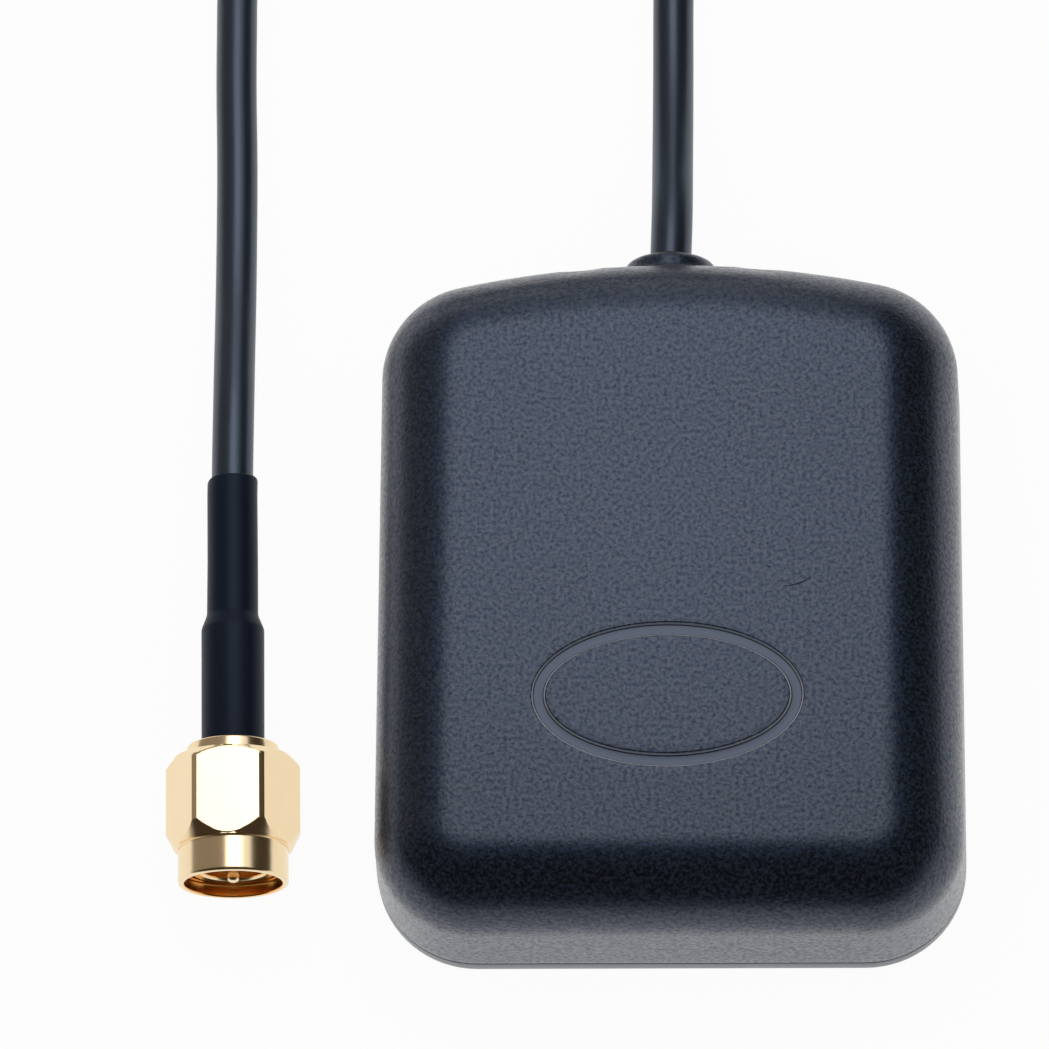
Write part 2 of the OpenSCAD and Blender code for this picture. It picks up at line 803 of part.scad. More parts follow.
module crimp_braid() {
    color([0.7, 0.55, 0.4])
    on_plug(collar_end)
    tube(stem_l, ferrule_bore_r - sleeve_gap, stem_r + sleeve_gap);
}

module crimp_insulation() {
    color([0.92, 0.92, 0.9])
    on_plug(pin_end)
    cylinder(h = jacket_at - pin_end, r = dielectric_r);
}

module plug_body() {
    color([0.85, 0.72, 0.42])
    on_plug(0)
    difference() {
        union() {
            translate([0, 0, tube_set_back])
            cylinder(h = collar_at - tube_set_back, r = tube_r);
            translate([0, 0, collar_at])
            cylinder(h = collar_l, r = collar_r);
            translate([0, 0, collar_end])
            cylinder(h = stem_l, r = stem_r);
        }
        translate([0, 0, tube_set_back - past])
        cylinder(h = insulator_end - tube_set_back + past, r = tube_bore_r);
        translate([0, 0, insulator_end - past])
        cylinder(h = stem_end - insulator_end + 2 * past, r = stem_bore_r);
        translate([0, 0, snap_at - snap_gap])
        tube(snap_t + 2 * snap_gap, tube_r + past, tube_r - snap_depth);
    }
}

// The nut's outer form: a turned barrel and a bevelled six-sided grip
module nut_form() {
    grip_bevel = (nut_corner_d - nut_af) / 2;
    rotate_extrude()
    polygon([[0, 0], [barrel_r - nut_bevel, 0], [barrel_r, nut_bevel], [barrel_r, barrel_l], [0, barrel_l]]);
    intersection() {
        translate([0, 0, barrel_l])
        cylinder(h = nut_l - barrel_l, r = nut_af / sqrt(3), $fn = 6);
        rotate_extrude()
        polygon([[0, barrel_l], [nut_af / 2, barrel_l],
                 [nut_corner_d / 2, barrel_l + grip_bevel], [nut_corner_d / 2, nut_l - grip_bevel],
                 [nut_af / 2, nut_l], [0, nut_l]]);
    }
}

module coupling_nut() {
    color([0.88, 0.76, 0.48])
    on_plug(0)
    difference() {
        nut_form();
        translate([0, 0, -past])
        cylinder(h = mouth_depth + past, r = mouth_r);
        translate([0, 0, mouth_depth - past])
        cylinder(h = thread_l + 2 * past, r = thread_r);
        translate([0, 0, chamber_at])
        cylinder(h = rear_wall_at - chamber_at, r = chamber_r);
        translate([0, 0, rear_wall_at - past])
        cylinder(h = rear_wall_t + 2 * past, r = tube_r + nut_gap);
    }
}

module retaining_ring() {
    color([0.7, 0.68, 0.6])
    on_plug(snap_at)
    tube(snap_t, snap_r, tube_r - snap_depth + snap_gap);
}

module sealing_washer() {
    color([0.7, 0.2, 0.12])
    on_plug(washer_at)
    tube(washer_t, washer_r, tube_r + insulator_gap);
}

module plug_insulator() {
    color([0.93, 0.93, 0.9])
    on_plug(insulator_at)
    tube(insulator_l, tube_bore_r - insulator_gap, pin_r + insulator_gap);
}

module contact_pin() {
    color([0.9, 0.78, 0.45])
    on_plug(0) {
        translate([0, 0, pin_set_back])
        cylinder(h = pin_r, r1 = pin_r / 2, r2 = pin_r);
        translate([0, 0, pin_set_back + pin_r])
        cylinder(h = insulator_end - pin_set_back - pin_r, r = pin_r);
        translate([0, 0, insulator_end])
        cylinder(h = pin_rear_l, r = pin_rear_r);
    }
}

top_housing();
housing_seal();
base_plate();
base_pad();
magnet();
housing_screw(1);  // housing_screw_1
housing_screw(2);  // housing_screw_2
housing_screw(3);  // housing_screw_3
housing_screw(4);  // housing_screw_4
ceramic_patch();
patch_electrode();
feed_pin();
patch_tape();
amplifier_board();
amplifier_chip();
band_filter();
chip_part(1);  // chip_part_1
chip_part(2);  // chip_part_2
chip_part(3);  // chip_part_3
chip_part(4);  // chip_part_4
shield_can();
cable_grommet();
lead_entry();
entry_braid();
entry_insulation();
entry_wire();
wire_solder();
lead_antenna_side();
lead_coil();
coil_tie();
lead_plug_side();
lead_in_sleeve();
shrink_sleeve();
crimp_ferrule();
crimp_braid();
crimp_insulation();
plug_body();
coupling_nut();
retaining_ring();
sealing_washer();
plug_insulator();
contact_pin();
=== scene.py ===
import math

import bmesh
import bpy
import numpy as np
from mathutils import Matrix, Vector


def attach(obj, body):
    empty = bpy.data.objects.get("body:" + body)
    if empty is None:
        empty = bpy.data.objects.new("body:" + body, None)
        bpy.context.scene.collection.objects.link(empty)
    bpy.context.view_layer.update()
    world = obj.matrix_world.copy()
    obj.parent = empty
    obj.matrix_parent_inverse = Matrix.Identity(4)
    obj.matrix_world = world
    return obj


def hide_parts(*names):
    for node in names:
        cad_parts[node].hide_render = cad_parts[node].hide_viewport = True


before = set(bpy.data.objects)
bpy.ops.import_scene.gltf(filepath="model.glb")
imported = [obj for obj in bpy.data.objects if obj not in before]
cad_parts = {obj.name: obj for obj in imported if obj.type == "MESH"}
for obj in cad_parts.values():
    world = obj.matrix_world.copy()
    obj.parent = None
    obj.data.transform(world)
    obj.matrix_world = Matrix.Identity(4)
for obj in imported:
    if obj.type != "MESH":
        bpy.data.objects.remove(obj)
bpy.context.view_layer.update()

# Shapes are worked out in millimetres and made in metres
MM = 0.001


# Camera

# The camera as it was fitted to the outline in the photograph, in degrees and metres
CAMERA_TILT = 71.0
CAMERA_TURN = 7.978
CAMERA_ROLL = -7.905
CAMERA_DISTANCE = 0.4163
CAMERA_TARGET = Vector((-0.009992, 0.007261, 0.0))
SENSOR_WIDTH = 36.0
FOCAL_PIXELS = 6143.0
PHOTO_PIXELS = 1049.0


def make_camera():
    """A long lens that looks down on the housing from its front, a little from the right."""
    tilt, turn, roll = (math.radians(a) for a in (CAMERA_TILT, CAMERA_TURN, CAMERA_ROLL))
    back = Vector((math.sin(turn) * math.cos(tilt), -math.cos(turn) * math.cos(tilt), math.sin(tilt)))
    level = Vector((math.cos(turn), math.sin(turn), 0.0))
    rise = back.cross(level)
    right = level * math.cos(roll) + rise * math.sin(roll)
    up = rise * math.cos(roll) - level * math.sin(roll)
    data = bpy.data.cameras.new("camera")
    data.sensor_width = SENSOR_WIDTH
    data.lens = FOCAL_PIXELS / PHOTO_PIXELS * SENSOR_WIDTH
    data.clip_start = 0.01
    data.clip_end = 10.0
    camera = bpy.data.objects.new("camera", data)
    bpy.context.collection.objects.link(camera)
    place = Matrix((right, up, back)).transposed().to_4x4()
    place.translation = CAMERA_TARGET + back * CAMERA_DISTANCE
    camera.matrix_world = place
    bpy.context.scene.camera = camera


make_camera()


# Lead

LEAD_R = 1.4
LEAD_EXIT = (0.0, 24.225, 5.15)
PLUG_MOUTH = np.array((-28.8, -19.025, 3.95))
PLUG_YAW = math.radians(1.5)
PLUG_AXIS = np.array((-math.sin(PLUG_YAW), math.cos(PLUG_YAW), 0.0))
PLUG_ACROSS = np.array((math.cos(PLUG_YAW), math.sin(PLUG_YAW), 0.0))
UP = np.array((0.0, 0.0, 1.0))
# How far inside the grommet's mouth the built lead starts
START_INSIDE = 0.4
# Depths behind the nut's mouth: the jacket's cut end, and the sleeve's middle and end
JACKET_DEPTH = 14.8
SLEEVE_MIDDLE = 22.0
SLEEVE_END = 28.1

COIL_CENTRE = np.array((-15.2, 87.0))
COIL_FOOT = 0.8
COIL_PITCH = 2.85
COIL_INNER_R = 16.075
# Each turn's place in the bundle: layers from the inside out, and levels from the floor up
COIL_SLOTS = [(4, 0), (3, 0), (2, 0), (1, 0), (0, 0), (0, 1), (1, 1), (2, 1), (3, 1), (3, 2),
              (2, 2), (1, 2), (0, 2), (0, 3), (1, 3), (2, 3), (3, 3), (4, 3), (4, 2), (4, 1)]
POINTS_PER_TURN = 18
# The part of a turn in which it moves over to the next turn's place
SHIFT_FROM = 0.78
SHIFT_TO = 0.97

# The free stretches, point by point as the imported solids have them
FROM_ANTENNA = [(0.1, 28, 4.6), (0.1, 32, 3.3), (0.1, 36, 2.2), (0.1, 40, 1.6), (0.1, 45, 1.4),
                (0.2, 49.5, 1.4), (0.9, 54, 1.4), (2.9, 58.5, 1.4), (6.1, 62.5, 1.4), (9.4, 66, 1.4),
                (11.8, 70, 1.5), (13.1, 74.5, 1.7), (13.6, 79, 2.0)]
TO_PLUG = [(-44, 79, 3.9), (-43.5, 74.5, 3.2), (-42.2, 70, 2.5), (-39.8, 66, 1.9), (-36.5, 62.5, 1.5),
           (-33.3, 58.5, 1.4), (-31.3, 54, 1.4), (-30.4, 49.5, 1.4), (-30.3, 45, 1.4), (-30.2, 39, 1.4),
           (-30, 33, 1.4), (-29.9, 28, 1.5), (-29.8, 23, 2), (-29.7, 18.5, 2.9), (-29.6, 14, 3.7)]


def ease(value, low, high):
    """Rises smoothly from 0 at low to 1 at high."""
    t = np.clip((value - low) / (high - low), 0.0, 1.0)
    return t * t * (3.0 - 2.0 * t)


def plug_point(depth, across=0.0, up=0.0):
    """A point at a depth behind the nut's mouth, beside the plug's axis or above it."""
    return PLUG_MOUTH + PLUG_AXIS * depth + PLUG_ACROSS * across + UP * up


def coil_points():
    """The wound turns: each keeps its slot in the bundle and shifts to the next one near its end."""
    points = []
    for turn, (layer, level) in enumerate(COIL_SLOTS):
        last = turn == len(COIL_SLOTS) - 1
        next_layer, next_level = COIL_SLOTS[turn if last else turn + 1]
        for step in range(POINTS_PER_TURN // 2 + 1 if last else POINTS_PER_TURN):
            part = step / POINTS_PER_TURN
            shift = ease(part, SHIFT_FROM, SHIFT_TO)
            radius = COIL_INNER_R + (layer + 0.5 + shift * (next_layer - layer)) * COIL_PITCH
            height = COIL_FOOT + (level + 0.5 + shift * (next_level - level)) * COIL_PITCH
            angle = 2.0 * math.pi * part
            points.append((COIL_CENTRE[0] + radius * math.cos(angle),
                           COIL_CENTRE[1] + radius * math.sin(angle), height))
    return points


def lead_route():
    """The whole lead's centreline, from inside the grommet to the crimp in the plug's sleeve."""
    start = [(LEAD_EXIT[0], LEAD_EXIT[1] - START_INSIDE, LEAD_EXIT[2])]
    end = [plug_point(depth) for depth in (SLEEVE_END, SLEEVE_MIDDLE, JACKET_DEPTH)]
    return start + FROM_ANTENNA + coil_points() + TO_PLUG + end


def make_lead():
    """One smooth spline for the whole lead."""
    data = bpy.data.curves.new("lead", "CURVE")
    data.dimensions = "3D"
    data.bevel_depth = LEAD_R * MM
    data.bevel_resolution = 8
    data.resolution_u = 4
    data.use_fill_caps = True
    route = lead_route()
    spline = data.splines.new("BEZIER")
    spline.bezier_points.add(len(route) - 1)
    for point, place in zip(spline.bezier_points, route):
        point.co = Vector(place) * MM
        point.handle_left_type = point.handle_right_type = "AUTO"
    data.materials.append(bpy.data.materials.new("lead_jacket"))
    made = bpy.data.objects.new("lead", data)
    bpy.context.collection.objects.link(made)
    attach(made, "antenna")
    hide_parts("lead_antenna_side", "lead_coil", "lead_plug_side", "lead_in_sleeve")
    return made


lead = make_lead()


# Finishes

class Signal:
    """A number that a node gives out. Sums with it add Math nodes."""

    def __init__(self, finish, socket):
        self.finish = finish
        self.socket = socket

    def __add__(self, other):
        return self.finish.math("ADD", self, other)

    def __radd__(self, other):
        return self.finish.math("ADD", other, self)

    def __sub__(self, other):
        return self.finish.math("SUBTRACT", self, other)

    def __rsub__(self, other):
        return self.finish.math("SUBTRACT", other, self)

    def __mul__(self, other):
        return self.finish.math("MULTIPLY", self, other)

    def __rmul__(self, other):
        return self.finish.math("MULTIPLY", other, self)

    def __truediv__(self, other):
        return self.finish.math("DIVIDE", self, other)

    def __lt__(self, other):
        return self.finish.math("LESS_THAN", self, other)

    def __gt__(self, other):
        return self.finish.math("GREATER_THAN", self, other)


class Finish:
    """The nodes of one material, or of the world."""

    def __init__(self, name, owner=None):
        self.owner = owner or bpy.data.materials.new(name)
        self.owner.use_nodes = True
        self.tree = self.owner.node_tree
        self.tree.nodes.clear()

    def node(self, kind, settings=None, sockets=None, output=0):
        """Adds a node: its settings first, then what its sockets are given."""
        made = self.tree.nodes.new("ShaderNode" + kind)
        for key, value in (settings or {}).items():
            setattr(made, key, value)
        for key, value in (sockets or {}).items():
            self.feed(made.inputs[key], value)
        return Signal(self, made.outputs[output]) if made.outputs else None

    def feed(self, socket, value):
        """Links a signal to a socket, or sets the socket's own value."""
        if isinstance(value, Signal):
            self.tree.links.new(value.socket, socket)
        elif isinstance(value, tuple) and len(value) == 3 and socket.type == "RGBA":
            socket.default_value = (*value, 1.0)
        else:
            socket.default_value = value

    def math(self, operation, first, second=0.0, clamp=False, third=0.0):
        return self.node("Math", {"operation": operation, "use_clamp": clamp},
                         {0: first, 1: second, 2: third})

    def mix(self, share, first, second):
        """Blends two colours."""
        return self.node("Mix", {"data_type": "RGBA"}, {"Factor": share, "A": first, "B": second}, 2)

    def parts(self, vector):
        """The three numbers of a vector."""
        split = self.node("SeparateXYZ", sockets={"Vector": vector})
        return [Signal(self, split.socket.node.outputs[i]) for i in range(3)]

    def places(self):
        """Where a point lies on the piece, as a vector and as its three parts."""
        where = self.node("TexCoord", output=3)
        return where, self.parts(where)

    def noise(self, where, size, detail=2.0, roughness=0.5):
        """Cloudy grain whose spots are about that many millimetres apart."""
        return self.node("TexNoise", {"noise_dimensions": "3D"},
                         {"Vector": where, "Scale": 1.0 / (size * MM), "Detail": detail,
                          "Roughness": roughness})

    def bump(self, height, depth):
        """Relief of that many millimetres."""
        return self.node("Bump", sockets={"Height": height, "Strength": 1.0, "Distance": depth * MM})

    def surface(self, **sockets):
        """Closes the material with one shader, whose sockets are named with underscores."""
        shader = self.node("BsdfPrincipled", sockets={k.replace("_", " "): v for k, v in sockets.items()})
        self.node("OutputMaterial", sockets={"Surface": shader})
        return self.owner


def toned(colour, factor):
    """A lighter or darker form of a colour."""
    return tuple(c * factor for c in colour)


def grained(name, colour, shine, metal=0.0, grain=0.3, relief=0.006, shade=0.12, cloud=4.0, **constants):
    """A finish with fine relief, and with a tone and gloss that vary a little; sizes in millimetres."""
    finish = Finish(name)
    where, _ = finish.places()
    fine = finish.noise(where, grain)
    broad = finish.noise(where, cloud, 3.0)
    tone = finish.mix(fine * 0.5 + broad * 0.5, toned(colour, 1.0 - shade), toned(colour, 1.0 + shade))
    return finish.surface(Base_Color=tone, Metallic=metal, Roughness=shine * 0.85 + broad * (shine * 0.3),
                          Normal=finish.bump(fine, relief), **constants)


HOUSING_TONE = (0.005, 0.007, 0.011)
# Dark moulded plastics mirror cool light straight on, and plain white light at a grazing angle
COOL_MIRROR = (0.62, 0.76, 1.0, 1.0)
COOL_SKIN = (0.25, 0.46, 1.0, 1.0)
SKIN_ROUGHNESS = 0.3
TOP_Z = 13.0
# The housing's relief, its speckled tone and its broad clouds, by the distances between their spots
GRAIN_SIZE = 0.26
GRAIN_DEPTH = 0.06
SPECK_SIZE = 0.22
CLOUD_SIZE = 9.0
# The zone of the oval line: its middle, its half sides, the square of its reach in them, and its span
# below the top
OVAL_CENTRE_Y = -8.825
OVAL_ZONE_HALF_W = 8.6
OVAL_ZONE_HALF_L = 4.7
OVAL_ZONE_REACH = 1.1
OVAL_ZONE_FROM = 0.14
OVAL_ZONE_TO = 0.4
# The scratch: its middle and direction, its half sides, how fast it thins out, and its bend
SCRATCH_MIDDLE = (8.5, -1.3)
SCRATCH_ANGLE = math.radians(19.4)
SCRATCH_HALF_LENGTH = 0.95
SCRATCH_HALF_WIDTH = 0.055
SCRATCH_TAPER = 0.035
SCRATCH_BEND = 0.16
SCRATCH_SAG = 0.05
SCRATCH_FLOOR = 0.05


def housing_finish():
    """Dark moulded plastic with a fine even grain; the oval line is smooth, and one fine scratch shows."""
    finish = Finish("housing_plastic")
    where, (x, y, z) = finish.places()
    grain = finish.noise(where, GRAIN_SIZE, 2.0, 0.6)
    speck = finish.noise(where, SPECK_SIZE, 1.0)
    speck = finish.math("MULTIPLY_ADD", speck - 0.5, 4.0, clamp=True, third=0.4)
    broad = finish.noise(where, CLOUD_SIZE, 2.0)
    oval_x = x / (OVAL_ZONE_HALF_W * MM)
    oval_y = (y - OVAL_CENTRE_Y * MM) / (OVAL_ZONE_HALF_L * MM)
    in_oval = (oval_x * oval_x + oval_y * oval_y) < OVAL_ZONE_REACH
    smooth = in_oval * (z < (TOP_Z - OVAL_ZONE_FROM) * MM) * (z > (TOP_Z - OVAL_ZONE_TO) * MM)
    along_x, along_y = math.cos(SCRATCH_ANGLE), math.sin(SCRATCH_ANGLE)
    from_x = x / MM - SCRATCH_MIDDLE[0]
    from_y = y / MM - SCRATCH_MIDDLE[1]
    along = from_x * along_x + from_y * along_y
    beside = from_y * along_x - from_x * along_y
    bent = beside - along * along * SCRATCH_BEND + SCRATCH_SAG
    thin = SCRATCH_HALF_WIDTH - finish.math("ABSOLUTE", along) * SCRATCH_TAPER
    scratch = (finish.math("ABSOLUTE", bent) < thin) * (z > (TOP_Z - SCRATCH_FLOOR) * MM)
    scratch = scratch * (finish.math("ABSOLUTE", along) < SCRATCH_HALF_LENGTH)
    tone = finish.mix(speck * 0.9 + broad * 0.1, toned(HOUSING_TONE, 0.3), toned(HOUSING_TONE, 2.6))
    tone = finish.mix(smooth, tone, toned(HOUSING_TONE, 1.3))
    tone = finish.mix(scratch * 0.9, tone, toned(HOUSING_TONE, 0.15))
    rough = (0.38 + (broad - 0.5) * 0.06) * (1.0 - smooth) + smooth * 0.34
    height = grain * (1.0 - smooth) - scratch * 2.0
    # The mirroring skin is broken up by the grain, and whole in the oval line
    skin = finish.math("MULTIPLY_ADD", grain - 0.5, 3.2, clamp=True, third=0.62)
    skin = (skin * 0.75 + 0.22) * (1.0 - smooth) + smooth
    skin = skin * (1.0 - scratch * 0.8)
    return finish.surface(Base_Color=tone, Roughness=rough + scratch * 0.3, Specular_Tint=COOL_SKIN,
                          Coat_Weight=skin, Coat_Roughness=SKIN_ROUGHNESS,
                          Normal=finish.bump(height, GRAIN_DEPTH))


def jacket_finish():
    """Satin extruded jacket with faint lengthwise unevenness."""
    finish = Finish("lead_jacket", lead.data.materials[0])
    where, _ = finish.places()
    fine = finish.noise(where, 0.25)
    broad = finish.noise(where, 3.0, 3.0)
    tone = finish.mix(broad, (0.007, 0.010, 0.016), (0.010, 0.014, 0.022))
    return finish.surface(Base_Color=tone, Roughness=0.34 + (broad - 0.5) * 0.08, Specular_Tint=COOL_MIRROR,
                          Specular_IOR_Level=1.0, Normal=finish.bump(fine * 0.4 + broad, 0.012))


def sleeve_finish():
    """Shrunk sleeve: dark, finely wrinkled and a little less shiny than the jacket."""
    finish = Finish("shrunk_sleeve")
    where, _ = finish.places()
    fine = finish.noise(where, 0.35)
    broad = finish.noise(where, 2.5, 3.0)
    tone = finish.mix(broad, (0.005, 0.008, 0.017), (0.007, 0.010, 0.022))
    return finish.surface(Base_Color=tone, Roughness=0.42 + (fine - 0.5) * 0.1, Specular_Tint=COOL_MIRROR,
                          Specular_IOR_Level=0.18, Normal=finish.bump(fine * 0.4 + broad, 0.02))


# Where a deeper, redder colour is painted as shade for the light that bounces inside the bores: in the nut's
# bore and in the plug's tube, by radius and depth
NUT_BORE_FROM_R = 2.95
NUT_BORE_TO_R = 3.3
NUT_BORE_END = 4.6
TUBE_BORE_FROM_R = 0.7
TUBE_BORE_TO_R = 2.2
TUBE_BORE_START = 0.95


def gold_finish(name, colour, bore_painted_shade, shine):
    """Plating over turned brass: tool marks round the axis, and a redder painted shade inside the bores for
    the light that bounces there.
    """
    finish = Finish(name)
    where, _ = finish.places()
    from_mouth = finish.node("VectorMath", {"operation": "SUBTRACT"}, {0: where, 1: Vector(PLUG_MOUTH) * MM})
    turned = finish.node("Mapping", sockets={"Vector": from_mouth, "Rotation": (0.0, 0.0, -PLUG_YAW)})
    across, depth, up = finish.parts(turned)
    radius = finish.math("SQRT", across * across + up * up)
    nut_bore_painted_shade = (radius > NUT_BORE_FROM_R * MM) * (radius < NUT_BORE_TO_R * MM) * (depth < NUT_BORE_END * MM)
    tube_bore_painted_shade = (radius < TUBE_BORE_TO_R * MM) * (radius > TUBE_BORE_FROM_R * MM)
    tube_bore_painted_shade = tube_bore_painted_shade * (depth > TUBE_BORE_START * MM)
    round_axis = finish.node("Mapping", sockets={"Vector": turned, "Scale": (0.02, 1.0, 0.02)})
    marks = finish.noise(round_axis, 0.05, 2.0)
    broad = finish.noise(where, 1.6, 2.0)
    tone = finish.mix(broad, toned(colour, 0.94), colour)
    # Painted shade: the bores take a deeper, redder colour for the light that bounces inside them
    tone = finish.mix(nut_bore_painted_shade + tube_bore_painted_shade, tone, bore_painted_shade)
    return finish.surface(Base_Color=tone, Metallic=1.0, Roughness=shine + (broad - 0.5) * 0.05,
                          Normal=finish.bump(marks, 0.0008))


finishes = {
    "housing": housing_finish(),
    "base": grained("base_plastic", HOUSING_TONE, 0.4, grain=GRAIN_SIZE, relief=0.04,
                    Specular_Tint=COOL_SKIN, Coat_Weight=0.7, Coat_Roughness=SKIN_ROUGHNESS),
    "soft_rubber": grained("pad_foam", (0.02, 0.021, 0.023), 0.75, grain=0.5, relief=0.05),
    "grommet": grained("grommet_rubber", (0.012, 0.013, 0.015), 0.5, grain=0.4, relief=0.015),
    "nickel": grained("magnet_plating", (0.62, 0.61, 0.58), 0.22, 1.0, 0.6, 0.002, 0.04),
    "screw_steel": grained("screw_zinc", (0.56, 0.56, 0.57), 0.32, 1.0, 0.3, 0.003, 0.06),
    "ceramic": grained("patch_ceramic", (0.62, 0.50, 0.34), 0.55, grain=0.15, relief=0.004),
    "filter_ceramic": grained("filter_ceramic", (0.68, 0.62, 0.46), 0.45, grain=0.1, relief=0.003),
    "silver": grained("patch_silver", (0.78, 0.77, 0.74), 0.38, 1.0, 0.12, 0.004, 0.08),
    "tin": grained("solder_tin", (0.66, 0.66, 0.67), 0.3, 1.0, 0.5, 0.008, 0.08),
    "tape": grained("foam_tape", (0.80, 0.78, 0.70), 0.7, grain=0.3, relief=0.02),
    "board": grained("board_mask", (0.018, 0.10, 0.045), 0.3, grain=0.5, relief=0.006),
    "chip_black": grained("chip_resin", (0.015, 0.015, 0.016), 0.55, grain=0.08, relief=0.004),
    "chip_part": grained("chip_part_body", (0.30, 0.22, 0.15), 0.5, grain=0.1, relief=0.003),
    "jacket": jacket_finish(),
    "tie": grained("tie_vinyl", (0.010, 0.010, 0.011), 0.42, grain=0.3, relief=0.01),
    "sleeve": sleeve_finish(),
    "copper": grained("braid_copper", (0.80, 0.42, 0.24), 0.35, 1.0, 0.25, 0.03, 0.15),
    "insulation": grained("wire_insulation", (0.82, 0.82, 0.78), 0.4, grain=0.4, relief=0.004),
    # The second colour is the painted redder shade inside the bores
    "gold_plate": gold_finish("gold_plate", (0.96, 0.76, 0.48), (0.88, 0.47, 0.15), 0.21),
    "spring_bronze": grained("ring_bronze", (0.72, 0.52, 0.30), 0.3, 1.0, 0.2, 0.003, 0.08),
    "red_silicone": grained("washer_silicone", (0.42, 0.05, 0.03), 0.5, grain=0.3, relief=0.01),
}
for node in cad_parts.values():
    for place in node.material_slots:
        place.material = finishes[place.material.name]


# Making pieces

def rounded(corners, steps=5):
    """An open line through corners (a, b, radius), rounded by each one's radius."""
    points = []
    for i, (a, b, radius) in enumerate(corners):
        here = np.array((a, b), float)
        if radius == 0:
            points.append(here)
            continue
        back = np.array(corners[i - 1][:2]) - here
        ahead = np.array(corners[i + 1][:2]) - here
        back /= np.linalg.norm(back)
        ahead /= np.linalg.norm(ahead)
        half = math.acos(np.clip(back @ ahead, -1.0, 1.0)) / 2.0
        middle = (back + ahead) / np.linalg.norm(back + ahead)
        centre = here + middle * radius / math.sin(half)
        first = (here + back * radius / math.tan(half) - centre) / radius
        final = (here + ahead * radius / math.tan(half) - centre) / radius
        sweep = math.acos(np.clip(first @ final, -1.0, 1.0))
        for step in range(steps + 1):
            t = step / steps
            spoke = (math.sin((1.0 - t) * sweep) * first + math.sin(t * sweep) * final) / math.sin(sweep)
            points.append(centre + radius * spoke)
    return points


def loft(rings, cap_first=True, cap_last=True, keep=None):
    """Points and faces that join each ring to the next; keep(ring, i) may leave a face out."""
    count = len(rings[0])
    faces = []
    for ring in range(len(rings) - 1):
        for i in range(count):
            if keep is None or keep(ring, i):
                after = (i + 1) % count
                low, high = ring * count, (ring + 1) * count
                faces.append((low + i, low + after, high + after, high + i))
    if cap_first:
        faces.append(tuple(range(count - 1, -1, -1)))
    if cap_last:
        start = (len(rings) - 1) * count
        faces.append(tuple(range(start, start + count)))
    return [tuple(p) for ring in rings for p in ring], faces


def turned(profile, point, sides=96):
    """Rings of a turned piece from (depth, radius) pairs; point places a depth, across and up."""
    angles = [2.0 * math.pi * k / sides for k in range(sides)]
    return [[point(depth, radius * math.cos(a), radius * math.sin(a)) for a in angles]
            for depth, radius in profile]


def add_piece(name, shape, slot, stands_for=(), body="antenna", sharp=40.0):
    """Makes a clean mesh of points and faces into a piece that rides on a body."""
    points, faces = shape
    mesh = bpy.data.meshes.new(name)
    mesh.from_pydata([Vector(p) * MM for p in points], [], faces)
    work = bmesh.new()
    work.from_mesh(mesh)
    bmesh.ops.remove_doubles(work, verts=work.verts, dist=0.002 * MM)
    bmesh.ops.delete(work, geom=[v for v in work.verts if not v.link_faces], context="VERTS")
    bmesh.ops.recalc_face_normals(work, faces=work.faces)
    work.to_mesh(mesh)
    work.free()
    mesh.shade_smooth()
    mesh.set_sharp_from_angle(angle=math.radians(sharp))
    mesh.materials.append(finishes[slot])
    made = bpy.data.objects.new(name, mesh)
    bpy.context.collection.objects.link(made)
    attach(made, body)
    if stands_for:
        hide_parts(*stands_for)
    return made


# Housing

HOUSING_W = 39.0
FRONT_Y = -23.925
REAR_Y = 22.875
CORNER_R = 6.7
REAR_BOW = 2.93
BOW_R = ((HOUSING_W / 2) ** 2 + REAR_BOW ** 2) / (2 * REAR_BOW)
BOW_CENTRE_Y = REAR_Y - BOW_R
SEAM_Z = 1.8
TOP_ROUND_R = 5.3
SHOULDER_Z = TOP_Z - TOP_ROUND_R
WALL = 2.0
DRAFT = 0.25
# The groove in the foot that holds the sealing ring
GROOVE_IN = 1.5
GROOVE_OUT = 0.5
GROOVE_TOP_Z = 2.65
FOOT_ROUND_R = 0.14
FOOT_STEPS = 4
CEILING_STEPS = 6
ROUND_STEPS = 16
WALL_ROWS = 11
# Rows of the top's rounding that the boss reaches into
BOSS_ROUND_ROWS = 7
FRONT_STEPS = 60
SIDE_STEPS = 48
CORNER_STEPS = 18
REAR_STEPS = 96
BOSS_STEPS = 50

BOSS_Y = 23.925
BOSS_Z = LEAD_EXIT[2]
HOLE_R = 2.25
# The hole's softened edge: how far outside the hole, and how deep below the boss's face
HOLE_EDGE = [(0, 0.12), (0.04, 0.04), (0.12, 0.0)]
# Radii of further rings on the wall round the boss, and of one round the hole inside
WALL_RINGS = [4.2, 5.2, 6.2]
INNER_RING = 3.4
# A ring's point this close to the opening's edge lies on it
EDGE_MARGIN = 0.06
# The boss's outline, from its flat face to the wall: distance from the lead, and height over the wall
BOSS_PROFILE = rounded([(0, 1.15, 0), (3.05, 1.15, 0.5), (3.2, 0, 0.5), (8, 0, 0)], 7)
OVAL_HALF_W = 8.85
OVAL_HALF_L = 4.9
# The flat rim inside the top's rounding, and how far in the oval's middle face starts
TOP_RIM = 0.3
OVAL_FIELD_INSET = 3.4
# The oval line's section: how far inside its outer edge, and height over the top
OVAL_PROFILE = rounded([(-0.6, 0, 0), (0, 0, 0.1), (0.1, -0.3, 0.1), (0.8, -0.3, 0.1), (0.9, 0, 0.1),
                        (1.5, 0, 0)], 4)


